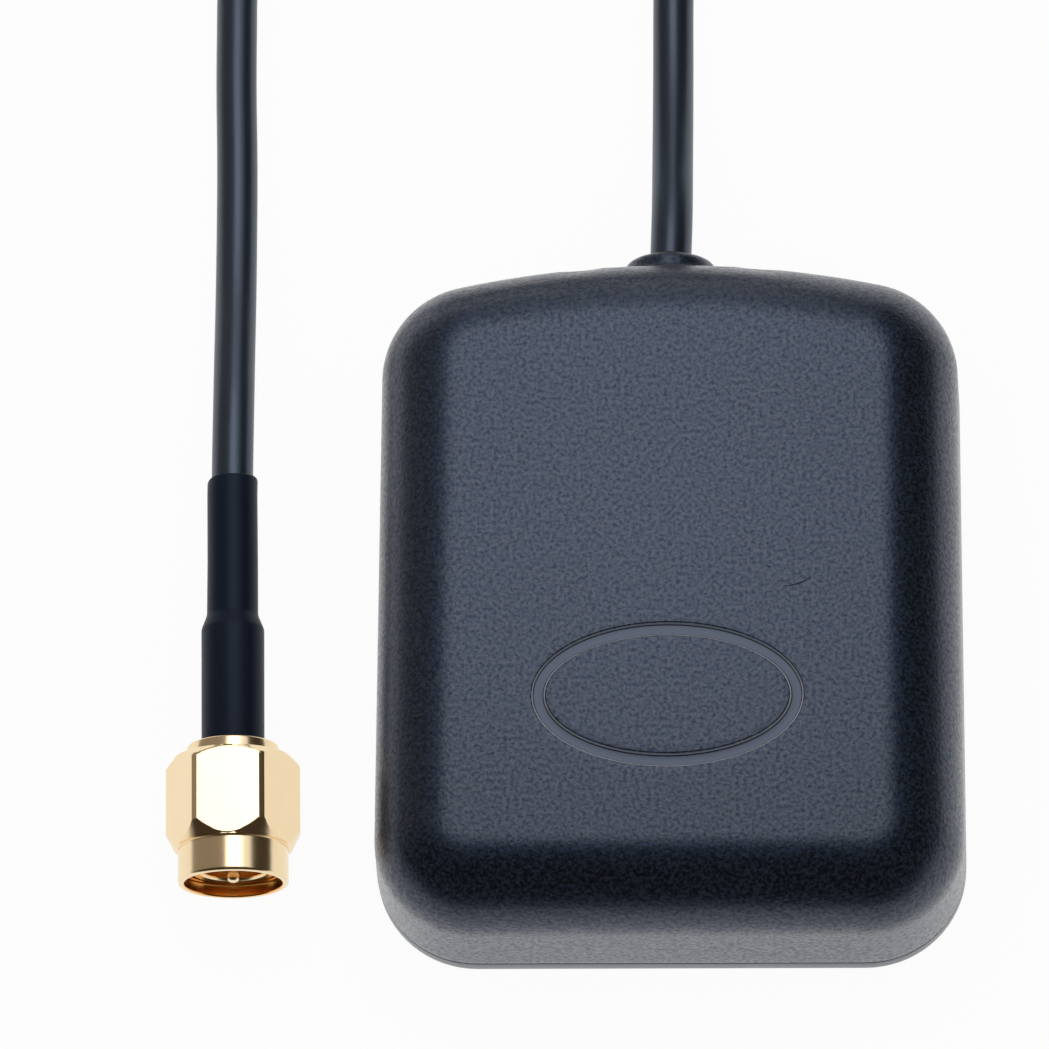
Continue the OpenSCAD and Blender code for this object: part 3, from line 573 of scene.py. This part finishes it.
def plan_core():
    """The points and outward directions that every inset of the plan is drawn from."""
    side_x = HOUSING_W / 2 - CORNER_R
    front_y = FRONT_Y + CORNER_R
    core_r = BOW_R - CORNER_R
    spread = math.asin(side_x / core_r)
    rear_y = BOW_CENTRE_Y + core_r * math.cos(spread)
    points, ways = [], []

    def add(place, angle):
        points.append(place)
        ways.append((math.cos(angle), math.sin(angle)))

    def corner(place, first, final):
        for step in range(CORNER_STEPS):
            add(place, first + (final - first) * step / CORNER_STEPS)

    quarter = math.pi / 2
    for step in range(FRONT_STEPS):
        add((side_x * (2 * step / FRONT_STEPS - 1), front_y), -quarter)
    corner((side_x, front_y), -quarter, 0.0)
    for step in range(SIDE_STEPS):
        add((side_x, front_y + (rear_y - front_y) * step / SIDE_STEPS), 0.0)
    corner((side_x, rear_y), 0.0, quarter - spread)
    for step in range(REAR_STEPS):
        angle = quarter + spread * (2 * step / REAR_STEPS - 1)
        add((core_r * math.cos(angle), BOW_CENTRE_Y + core_r * math.sin(angle)), angle)
    corner((-side_x, rear_y), quarter + spread, math.pi)
    for step in range(SIDE_STEPS):
        add((-side_x, rear_y + (front_y - rear_y) * step / SIDE_STEPS), math.pi)
    corner((-side_x, front_y), math.pi, 3 * quarter)
    return np.array(points), np.array(ways)


CORE, OUTWARD = plan_core()
BOSS_FIRST = FRONT_STEPS + CORNER_STEPS * 2 + SIDE_STEPS + (REAR_STEPS - BOSS_STEPS) // 2
BOSS_COLUMNS = range(BOSS_FIRST, BOSS_FIRST + BOSS_STEPS)


def plan_ring(inset, z):
    """The housing's plan, drawn in by an inset, as a ring of points at a height."""
    flat = CORE + OUTWARD * (CORNER_R - inset)
    return np.column_stack((flat, np.full(len(flat), float(z))))


def lean(z):
    """How far the wall has leaned in at a height, and above the shoulder the rounding too."""
    if z <= SHOULDER_Z:
        return DRAFT * (z - SEAM_Z) / (SHOULDER_Z - SEAM_Z)
    return DRAFT + TOP_ROUND_R - math.sqrt(TOP_ROUND_R ** 2 - (z - SHOULDER_Z) ** 2)


def boss_share(x, z):
    """1 on the boss's face, 0 on the plain wall."""
    distance = np.hypot(x, z - BOSS_Z)
    spans = [p[0] for p in BOSS_PROFILE]
    heights = [p[1] / BOSS_PROFILE[0][1] for p in BOSS_PROFILE]
    return np.interp(distance, spans, heights)


def rear_wall_y(x, inset):
    """Where the bowed rear wall lies at a place across it."""
    return BOW_CENTRE_Y + np.sqrt((BOW_R - inset) ** 2 - x ** 2)


def swell(ring, z):
    """Moves a wall ring's rear part out to the boss, as far as the boss stands out at a height."""
    for i in range(BOSS_FIRST, BOSS_FIRST + BOSS_STEPS + 1):
        x, y, _ = ring[i]
        ring[i][1] = y + boss_share(x, z) * (BOSS_Y - rear_wall_y(x, lean(z)))
    return ring


def boss_patch(rows, inset_of, spans, share):
    """Rings round the lead's hole that fill the wall's opening, from the hole out to the opening's edge."""
    first, final = BOSS_FIRST, BOSS_FIRST + BOSS_STEPS
    edge = [rows[0][i] for i in range(first, final)]
    edge += [row[final] for row in rows[:-1]]
    edge += [rows[-1][i] for i in range(final, first, -1)]
    edge += [row[first] for row in rows[:0:-1]]
    rings = []
    for span, sunk in spans:
        ring = []
        for place in edge:
            across, rise = place[0], place[2] - BOSS_Z
            reach = math.hypot(across, rise)
            if span > reach - EDGE_MARGIN:
                ring.append(place)
                continue
            x = across * span / reach
            z = BOSS_Z + rise * span / reach
            y = rear_wall_y(x, inset_of(z))
            y += share(x, z) * (BOSS_Y - y) - sunk
            ring.append(np.array((x, y, z)))
        rings.append(ring)
    rings.append(edge)
    return rings


def bridge(first, second):
    """Triangles that join two rings round the lead's hole, which may differ in their number of points."""
    rings = [list(ring) + [ring[0]] for ring in (first, second)]
    turns = [-np.unwrap([math.atan2(p[2] - BOSS_Z, p[0]) for p in ring]) for ring in rings]
    start = len(rings[0])
    faces = []
    i = j = 0
    while i + 1 < len(rings[0]) or j + 1 < len(rings[1]):
        if j + 1 == len(rings[1]) or (i + 1 < len(rings[0]) and turns[0][i + 1] < turns[1][j + 1]):
            faces.append((i, i + 1, start + j))
            i += 1
        else:
            faces.append((i, start + j + 1, start + j))
            j += 1
    return [tuple(p) for ring in rings for p in ring], faces


def add_shape(shape, more):
    """Joins two shapes' points and faces."""
    points, faces = shape
    start = len(points)
    return points + more[0], faces + [tuple(start + i for i in face) for face in more[1]]


def housing_shape():
    """A shell that goes from the ceiling down inside, round the foot, up outside and over the top."""
    heights = [SEAM_Z + FOOT_ROUND_R + (SHOULDER_Z - SEAM_Z - FOOT_ROUND_R) * i / (WALL_ROWS - 1)
               for i in range(WALL_ROWS)]
    cavity_r = TOP_ROUND_R - WALL
    rings = []
    for step in range(CEILING_STEPS, 0, -1):
        angle = math.pi / 2 * step / CEILING_STEPS
        rings.append(plan_ring(WALL + DRAFT + cavity_r * (1 - math.cos(angle)),
                               SHOULDER_Z + cavity_r * math.sin(angle)))
    inner_first = len(rings)
    inner_rows = [plan_ring(WALL + lean(z), z) for z in heights[::-1]]
    rings += inner_rows
    for inset, z in ((WALL, SEAM_Z), (GROOVE_IN, SEAM_Z), (GROOVE_IN, GROOVE_TOP_Z),
                     (GROOVE_OUT, GROOVE_TOP_Z), (GROOVE_OUT, SEAM_Z)):
        rings.append(plan_ring(inset, z))
    for step in range(FOOT_STEPS):
        angle = math.pi / 2 * step / FOOT_STEPS
        rings.append(swell(plan_ring(FOOT_ROUND_R * (1 - math.sin(angle)),
                                     SEAM_Z + FOOT_ROUND_R * (1 - math.cos(angle))), heights[0]))
    outer_first = len(rings)
    outer_heights = heights + [SHOULDER_Z + TOP_ROUND_R * math.sin(math.pi / 2 * step / ROUND_STEPS)
                               for step in range(1, BOSS_ROUND_ROWS + 1)]
    outer_rows = [swell(plan_ring(lean(z), z), z) for z in outer_heights]
    rings += outer_rows
    for step in range(BOSS_ROUND_ROWS + 1, ROUND_STEPS + 1):
        angle = math.pi / 2 * step / ROUND_STEPS
        rings.append(plan_ring(DRAFT + TOP_ROUND_R * (1 - math.cos(angle)),
                               SHOULDER_Z + TOP_ROUND_R * math.sin(angle)))
    rings.append(plan_ring(DRAFT + TOP_ROUND_R + TOP_RIM, TOP_Z))
    ends = rings[-1]
    turn = np.arctan2((ends[:, 1] - OVAL_CENTRE_Y) / OVAL_HALF_L, ends[:, 0] / OVAL_HALF_W)
    for inside, rise in OVAL_PROFILE + [np.array((OVAL_FIELD_INSET, 0.0))]:
        rings.append(np.column_stack(((OVAL_HALF_W - inside) * np.cos(turn),
                                      OVAL_CENTRE_Y + (OVAL_HALF_L - inside) * np.sin(turn),
                                      np.full(len(turn), TOP_Z + rise))))
    skipped = set(range(inner_first, inner_first + WALL_ROWS - 1))
    skipped |= set(range(outer_first, outer_first + len(outer_rows) - 1))
    shape = loft(rings, keep=lambda ring, i: not (ring in skipped and i in BOSS_COLUMNS))
    spans = [(HOLE_R + out, sunk) for out, sunk in HOLE_EDGE]
    spans += [(p[0], 0.0) for p in BOSS_PROFILE[1:-1]] + [(radius, 0.0) for radius in WALL_RINGS]
    outside = boss_patch(outer_rows, lean, spans, boss_share)
    inside = boss_patch(inner_rows[::-1], lambda z: WALL + lean(z), [(HOLE_R, 0.0), (INNER_RING, 0.0)],
                        lambda x, z: 0.0)
    shape = add_shape(shape, loft(outside, False, False))
    shape = add_shape(shape, loft(inside, False, False))
    return add_shape(shape, bridge(inside[0], outside[0]))


housing_shell = add_piece("housing_shell", housing_shape(), "housing", ["top_housing"])


# Base

PLATE_Z = 0.2
POCKET_Z = 0.8
PAD_INSET = 2.6
PAD_REACH = 1.5
POCKET_INSET = PAD_INSET - 0.15
PLATE_EDGE_R = 0.35


def plate_shape():
    """The plate that closes the foot, with softened edges and a pocket for the pad."""
    section = [(POCKET_INSET, POCKET_Z)]
    section += rounded([(POCKET_INSET, POCKET_Z - 0.1, 0), (POCKET_INSET, PLATE_Z, 0.1),
                        (1.0, PLATE_Z, 0)], 3)
    section += rounded([(0.9, PLATE_Z, 0), (0, PLATE_Z, PLATE_EDGE_R), (0, SEAM_Z, FOOT_ROUND_R),
                        (0.5, SEAM_Z, 0)], 5)
    return loft([plan_ring(inset, z) for inset, z in section])


def pad_shape():
    """The soft pad in the plate's pocket."""
    section = rounded([(PAD_INSET + PAD_REACH, POCKET_Z, 0), (PAD_INSET, POCKET_Z, 0.05),
                       (PAD_INSET, 0, 0.25), (PAD_INSET + PAD_REACH, 0, 0)], 5)
    return loft([plan_ring(inset, z) for inset, z in section])


foot_plate = add_piece("foot_plate", plate_shape(), "base", ["base_plate"])
foot_pad = add_piece("foot_pad", pad_shape(), "soft_rubber", ["base_pad"])


# Grommet

FLANGE_Y = 19.825
FLANGE_END_Y = 20.625
FLANGE_R = 3.0
GROMMET_END_Y = 24.225
GROMMET_R = 2.2
GROMMET_BORE_R = 1.45


def lead_point(y, across=0.0, up=0.0):
    """A point on or beside the lead's line through the rear wall."""
    return np.array((-across, y, LEAD_EXIT[2] + up))


def grommet_shape():
    """A sleeve with a flange inside the wall and a softened lip outside."""
    section = rounded([(FLANGE_Y, GROMMET_BORE_R, 0), (FLANGE_Y, FLANGE_R, 0.1),
                       (FLANGE_END_Y, FLANGE_R, 0.1), (FLANGE_END_Y, GROMMET_R, 0.05),
                       (GROMMET_END_Y, GROMMET_R, 0.18), (GROMMET_END_Y, GROMMET_BORE_R, 0.12),
                       (FLANGE_Y, GROMMET_BORE_R, 0)], 5)
    return loft(turned(section, lead_point, 72), False, False)


exit_grommet = add_piece("exit_grommet", grommet_shape(), "grommet", ["cable_grommet"])


# Coil tie

TIE_HALF_W = 2.0
# Height of the ridge over the wire, and of the flat edges beside it
TIE_T = 0.8
TIE_EDGE_T = 0.4
RIDGE_HALF_W = 0.3
RIDGE_FOOT_HALF_W = 0.55
TIE_BEND_R = 1.3
# How far under the coil the loop's ends meet
TIE_MEETS = 4
TIE_NEAR_Y = 102.05
TIE_FAR_Y = 118.225
TIE_TOP_Z = 13.0


def tie_shape():
    """A flat band with a wire along its middle, once round the bundle."""
    near, far = TIE_NEAR_Y + TIE_T, TIE_FAR_Y - TIE_T
    low, high = TIE_T, TIE_TOP_Z - TIE_T
    loop = rounded([(TIE_NEAR_Y + TIE_MEETS, low, 0), (far, low, TIE_BEND_R), (far, high, TIE_BEND_R),
                    (near, high, TIE_BEND_R), (near, low, TIE_BEND_R), (TIE_NEAR_Y + TIE_MEETS, low, 0)], 8)
    section = rounded([(-TIE_HALF_W, 0, 0), (-TIE_HALF_W, TIE_EDGE_T, 0.15),
                       (-RIDGE_FOOT_HALF_W, TIE_EDGE_T, 0.3), (-RIDGE_HALF_W, TIE_T, 0.3),
                       (RIDGE_HALF_W, TIE_T, 0.3), (RIDGE_FOOT_HALF_W, TIE_EDGE_T, 0.3),
                       (TIE_HALF_W, TIE_EDGE_T, 0.15), (TIE_HALF_W, 0, 0)], 3)
    rings = []
    for i, place in enumerate(loop):
        ahead = loop[(i + 1) % len(loop)] - loop[i - 1]
        ahead /= np.linalg.norm(ahead)
        out = np.array((ahead[1], -ahead[0]))
        rings.append([(COIL_CENTRE[0] + x, place[0] + out[0] * rise, place[1] + out[1] * rise)
                      for x, rise in section])
    return loft(rings + [rings[0]], False, False)


coil_band = add_piece("coil_band", tie_shape(), "tie", ["coil_tie"])


# Shrunk sleeve

COLLAR_END = 9.4
FERRULE_END = 17.7
SLEEVE_START = COLLAR_END + 0.02
SLEEVE_START_R = 1.8
SLEEVE_WIDE_R = 2.1
SLEEVE_NARROW_R = 1.7
SLEEVE_INNER_R = 1.42
# A row of points halfway along the sleeve's narrow part, and one where its cut end begins
SLEEVE_WAIST = 22.5
SLEEVE_CUT_ROW = 27.1
# Depth from which the sleeve follows its uneven cut
CUT_FROM = 26.5


def sleeve_shape(sides=72):
    """A tube shrunk over the ferrule and the jacket, with an uneven cut end."""
    section = rounded([(SLEEVE_START, SLEEVE_START_R, 0), (SLEEVE_START, SLEEVE_WIDE_R, 0.12),
                       (FERRULE_END - 0.1, SLEEVE_WIDE_R, 0.9), (FERRULE_END + 0.9, SLEEVE_NARROW_R, 1.2),
                       (SLEEVE_WAIST, SLEEVE_NARROW_R, 0), (SLEEVE_CUT_ROW, SLEEVE_NARROW_R, 0),
                       (SLEEVE_END, SLEEVE_NARROW_R, 0.12),
                       (SLEEVE_END, SLEEVE_INNER_R, 0), (FERRULE_END + 1.5, SLEEVE_INNER_R, 0),
                       (SLEEVE_START, SLEEVE_START_R, 0)], 6)
    rings = []
    for depth, radius in section:
        near_end = ease(depth, CUT_FROM, SLEEVE_END)
        ring = []
        for k in range(sides):
            angle = 2.0 * math.pi * k / sides
            cut = 0.14 * math.sin(angle + 0.6) + 0.06 * math.sin(3.0 * angle + 1.0)
            wave = 0.012 * math.sin(2.0 * angle + depth * 1.1) + 0.01 * math.sin(depth * 2.3 + angle)
            outer = radius + (wave if radius > SLEEVE_INNER_R + 0.1 else 0.0)
            ring.append(plug_point(depth + near_end * cut, outer * math.cos(angle), outer * math.sin(angle)))
        rings.append(ring)
    return loft(rings, False, False)


plug_sleeve = add_piece("plug_sleeve", sleeve_shape(), "sleeve", ["shrink_sleeve"])


# Plug

NUT_FLAT_R = 3.95
NUT_CORNER_R = 4.45
NUT_LENGTH = 8.5
BARREL_R = 3.65
BARREL_END = 2.4
MOUTH_R = 3.23
THREAD_START = 0.9
THREAD_END = 4.5
THREAD_R = 3.0
THREAD_HALF_DEPTH = 0.13
THREAD_PITCH = 0.7056
THREAD_RUN_OUT = 0.4
THREAD_ROWS_PER_PITCH = 8
CHAMBER_R = 3.2
REAR_WALL_AT = 6.9
REAR_BORE_R = 2.72
# How much longer than high the grip's bevels are in front, to the start and the end of their rounded edge
BEVEL_SLOPE = 1.75
BEVEL_END_SLOPE = 1.86
BEVEL_EDGE = 0.035
FLAT_STEPS = 14

LIP_AT = 0.85
LIP_R = 2.86
TUBE_R = 2.65
TUBE_BORE_R = 2.1
TUBE_FLOOR_AT = 6.05
RING_GROOVE_AT = 6.3
RING_GROOVE_END = 6.9
RING_GROOVE_R = 2.35
COLLAR_AT = 8.55
COLLAR_R = 3.05
STEM_R = 1.15
STEM_BORE_R = 0.8
STEM_END = 14.4

CORE_AT = 2.45
CORE_R = 2.08
CORE_BORE_R = 0.47
PIN_TIP_AT = 0.15
PIN_R = 0.42
PIN_REAR_R = 0.62
PIN_END = 7.05


def hexagon_r(angle):
    """Distance from the axis to the six-sided grip's surface, with its corners turned off."""
    sixth = math.pi / 3
    off = (angle + sixth / 2) % sixth - sixth / 2
    return min(NUT_FLAT_R / math.cos(off), NUT_CORNER_R)


def nut_angles():
    """Angles that fall on the grip's corners, with a flat facing straight down."""
    strip = math.pi / 6 - math.acos(NUT_FLAT_R / NUT_CORNER_R)
    angles = []
    for k in range(6):
        middle = -math.pi / 2 + k * math.pi / 3
        half = math.pi / 6
        angles += [middle + (half - strip) * (2 * step / FLAT_STEPS - 1) for step in range(FLAT_STEPS + 1)]
        angles.append(middle + half)
    return angles


def nut_shape():
    """Barrel, bevelled six-sided grip, threaded bore and the rear wall's bore, as one closed skin."""
    angles = nut_angles()
    grip = np.array([hexagon_r(a + math.pi / 2) for a in angles])
    bevel = grip - NUT_FLAT_R
    even = np.ones(len(angles))
    rings = []

    def ring(depths, radii):
        rings.append([plug_point(d, r * math.cos(a), r * math.sin(a))
                      for d, r, a in zip(depths * even, radii * even, angles)])

    for depth, radius in rounded([(THREAD_START, MOUTH_R, 0), (0, MOUTH_R, 0.12), (0, BARREL_R, 0.18),
                                  (0.24, BARREL_R, 0), (BARREL_END - 0.12, BARREL_R, 0),
                                  (BARREL_END, BARREL_R, 0.06), (BARREL_END, NUT_FLAT_R - 0.06, 0)], 4):
        ring(depth, radius)
    ring(BARREL_END + 0.01, NUT_FLAT_R - 0.01)
    ring(BARREL_END + 0.06 + bevel * BEVEL_SLOPE, grip - BEVEL_EDGE)
    ring(BARREL_END + 0.13 + bevel * BEVEL_END_SLOPE, grip)
    ring(BARREL_END + 0.19 + bevel * BEVEL_END_SLOPE, grip)
    ring(NUT_LENGTH - 0.19 - bevel, grip)
    ring(NUT_LENGTH - 0.13 - bevel, grip)
    ring(NUT_LENGTH - 0.06 - bevel * 0.9, grip - BEVEL_EDGE)
    ring(NUT_LENGTH - 0.01, NUT_FLAT_R - 0.01)
    for depth, radius in rounded([(NUT_LENGTH, NUT_FLAT_R - 0.06, 0), (NUT_LENGTH, REAR_BORE_R, 0.12),
                                  (REAR_WALL_AT, REAR_BORE_R, 0.1), (REAR_WALL_AT, CHAMBER_R, 0.1),
                                  (THREAD_END, CHAMBER_R, 0)], 3):
        ring(depth, radius)
    rows = int((THREAD_END - THREAD_START) / THREAD_PITCH * THREAD_ROWS_PER_PITCH)
    phase = np.array(angles) / (2 * math.pi)
    for row in range(rows, -1, -1):
        depth = THREAD_START + (THREAD_END - THREAD_START) * row / rows
        turn = (depth / THREAD_PITCH - phase) % 1.0
        ridge = np.abs(2.0 * turn - 1.0) * 2.0 - 1.0
        fade = ease(depth, THREAD_START, THREAD_START + THREAD_PITCH)
        fade *= ease(-depth, -THREAD_END, THREAD_RUN_OUT - THREAD_END)
        ring(depth, THREAD_R + THREAD_HALF_DEPTH * ridge * fade + (1 - fade) * 0.1)
    return loft(rings + [rings[0]], False, False)


def body_shape():
    """The plug's body: front tube with its lip and ring groove, collar and stem, open along its axis."""
    section = rounded([(TUBE_FLOOR_AT, TUBE_BORE_R, 0), (LIP_AT + 0.17, TUBE_BORE_R, 0.04),
                       (LIP_AT, TUBE_BORE_R + 0.17, 0.04), (LIP_AT, LIP_R, 0.1),
                       (LIP_AT + 0.45, LIP_R, 0.05), (LIP_AT + 0.55, TUBE_R, 0),
                       (RING_GROOVE_AT, TUBE_R, 0), (RING_GROOVE_AT, RING_GROOVE_R, 0),
                       (RING_GROOVE_END, RING_GROOVE_R, 0), (RING_GROOVE_END, TUBE_R, 0),
                       (COLLAR_AT, TUBE_R, 0), (COLLAR_AT, COLLAR_R, 0.12), (COLLAR_END, COLLAR_R, 0.12),
                       (COLLAR_END, STEM_R, 0), (STEM_END, STEM_R, 0), (STEM_END, STEM_BORE_R, 0),
                       (TUBE_FLOOR_AT, STEM_BORE_R, 0), (TUBE_FLOOR_AT, TUBE_BORE_R, 0)], 5)
    return loft(turned(section, plug_point), False, False)


def insulator_shape():
    """The white ring round the pin, with softened edges."""
    section = rounded([(TUBE_FLOOR_AT, CORE_BORE_R, 0), (CORE_AT, CORE_BORE_R, 0.06), (CORE_AT, CORE_R, 0.1),
                       (TUBE_FLOOR_AT, CORE_R, 0), (TUBE_FLOOR_AT, CORE_BORE_R, 0)], 4)
    return loft(turned(section, plug_point), False, False)


def pin_shape():
    """The contact pin with its rounded tip and wider rear part."""
    section = rounded([(PIN_TIP_AT, 0, 0), (PIN_TIP_AT, PIN_R, 0.3), (TUBE_FLOOR_AT, PIN_R, 0),
                       (TUBE_FLOOR_AT, PIN_REAR_R, 0), (PIN_END, PIN_REAR_R, 0), (PIN_END, 0, 0)], 6)
    return loft(turned(section, plug_point, 48), False, False)


nut_shell = add_piece("nut_shell", nut_shape(), "gold_plate", ["coupling_nut"], body="nut", sharp=24.0)
plug_barrel = add_piece("plug_barrel", body_shape(), "gold_plate", ["plug_body"])
plug_core = add_piece("plug_core", insulator_shape(), "insulation", ["plug_insulator"])
plug_pin = add_piece("plug_pin", pin_shape(), "gold_plate", ["contact_pin"])


# Floor, world and lamps

FLOOR_SIZE = 6.0
# How much of the floor's colour is its lit surface, which takes the shadow
SHADOW_SHARE = 0.05
LAMP_HEIGHT = 0.17
LAMP_X = (-0.058, 0.040)
LAMP_Y = (0.008, 0.148)
LAMP_GLOW = 1.2
# An area lamp of this many watts a square metre glows as an emission of strength 1
WATTS_AT_STRENGTH_1 = 4.0
AMBIENT = 0.65
# The cards that mirrors see in front of the object, to its right and to its left
CARD_HEIGHT = 0.065
LEFT_CARD_HEIGHT = 0.165
CARD_FRONT_Y = -0.0095
CARD_RIGHT_X = 0.025
CARD_LEFT_X = -0.059
CARD_REACH = 0.5
DARK_CARD = (0.045, 0.035, 0.025)
GREY_CARD = (0.26, 0.23, 0.20)


def seen_directly(finish):
    """1 for camera, mirror and glass rays, which see the plain white background."""
    path = finish.node("LightPath")
    rays = [Signal(finish, path.socket.node.outputs[name])
            for name in ("Is Camera Ray", "Is Glossy Ray", "Is Transmission Ray")]
    return finish.math("ADD", rays[0] + rays[1], rays[2], clamp=True)


def make_floor():
    """A white floor that keeps a faint shadow."""
    finish = Finish("floor_white")
    lit = finish.node("BsdfDiffuse", sockets={"Color": (0.8, 0.8, 0.8)})
    white = finish.node("Emission", sockets={"Color": (1.0, 1.0, 1.0), "Strength": 1.0})
    share = seen_directly(finish) * (1.0 - SHADOW_SHARE)
    mixed = finish.node("MixShader", sockets={0: share, 1: lit, 2: white})
    finish.node("OutputMaterial", sockets={"Surface": mixed})
    half = FLOOR_SIZE / 2
    mesh = bpy.data.meshes.new("floor")
    corners = [(-half, -half, 0), (half, -half, 0), (half, half, 0), (-half, half, 0)]
    mesh.from_pydata(corners, [], [(0, 1, 2, 3)])
    mesh.materials.append(finish.owner)
    floor = bpy.data.objects.new("floor", mesh)
    bpy.context.collection.objects.link(floor)


def make_world():
    """White where it is seen, and a low even light on everything else."""
    world = bpy.data.worlds.new("studio")
    bpy.context.scene.world = world
    finish = Finish("studio", world)
    strength = seen_directly(finish) * (1.0 - AMBIENT) + AMBIENT
    glow = finish.node("Background", sockets={"Color": (1.0, 1.0, 1.0), "Strength": strength})
    finish.node("OutputWorld", sockets={"Surface": glow})


def make_softbox():
    """A soft lamp close above the object, a little behind and to the left."""
    data = bpy.data.lights.new("softbox", "AREA")
    data.shape = "RECTANGLE"
    data.size = LAMP_X[1] - LAMP_X[0]
    data.size_y = LAMP_Y[1] - LAMP_Y[0]
    data.energy = WATTS_AT_STRENGTH_1 * data.size * data.size_y * LAMP_GLOW
    lamp = bpy.data.objects.new("softbox", data)
    lamp.location = ((LAMP_X[0] + LAMP_X[1]) / 2, (LAMP_Y[0] + LAMP_Y[1]) / 2, LAMP_HEIGHT)
    lamp.visible_camera = False
    bpy.context.collection.objects.link(lamp)


def make_card(name, shade, height, edges):
    """A card of an even shade that only mirrors see: a flat part overhead and a drop to the floor."""
    finish = Finish(name)
    glow = finish.node("Emission", sockets={"Color": shade, "Strength": 1.0})
    finish.node("OutputMaterial", sockets={"Surface": glow})
    finish.owner.cycles.emission_sampling = "NONE"
    points = [(x, y, height) for x, y in edges]
    points += [(x, y, 0.0) for x, y in edges[2:]]
    mesh = bpy.data.meshes.new(name)
    mesh.from_pydata(points, [], [(0, 1, 2, 3), (3, 2, 4, 5)])
    mesh.materials.append(finish.owner)
    card = bpy.data.objects.new(name, mesh)
    card.visible_camera = False
    card.visible_diffuse = False
    card.visible_transmission = False
    card.visible_shadow = False
    bpy.context.collection.objects.link(card)


# In the photograph the plug's flats mirror only the white background, not the housing beside them
for piece in [housing_shell, foot_plate, foot_pad, exit_grommet, *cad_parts.values()]:
    piece.visible_glossy = False

make_floor()
make_world()
make_softbox()
make_card("card_front", DARK_CARD, CARD_HEIGHT,
          [(-CARD_REACH, CARD_FRONT_Y), (CARD_REACH, CARD_FRONT_Y),
           (CARD_REACH, -CARD_REACH), (-CARD_REACH, -CARD_REACH)])
make_card("card_right", DARK_CARD, CARD_HEIGHT,
          [(CARD_RIGHT_X, CARD_FRONT_Y), (CARD_RIGHT_X, CARD_REACH),
           (CARD_REACH, CARD_REACH), (CARD_REACH, CARD_FRONT_Y)])
make_card("card_left", GREY_CARD, LEFT_CARD_HEIGHT,
          [(CARD_LEFT_X, CARD_REACH), (CARD_LEFT_X, -CARD_REACH),
           (-CARD_REACH, -CARD_REACH), (-CARD_REACH, CARD_REACH)])

bpy.context.scene.view_settings.view_transform = "Standard"
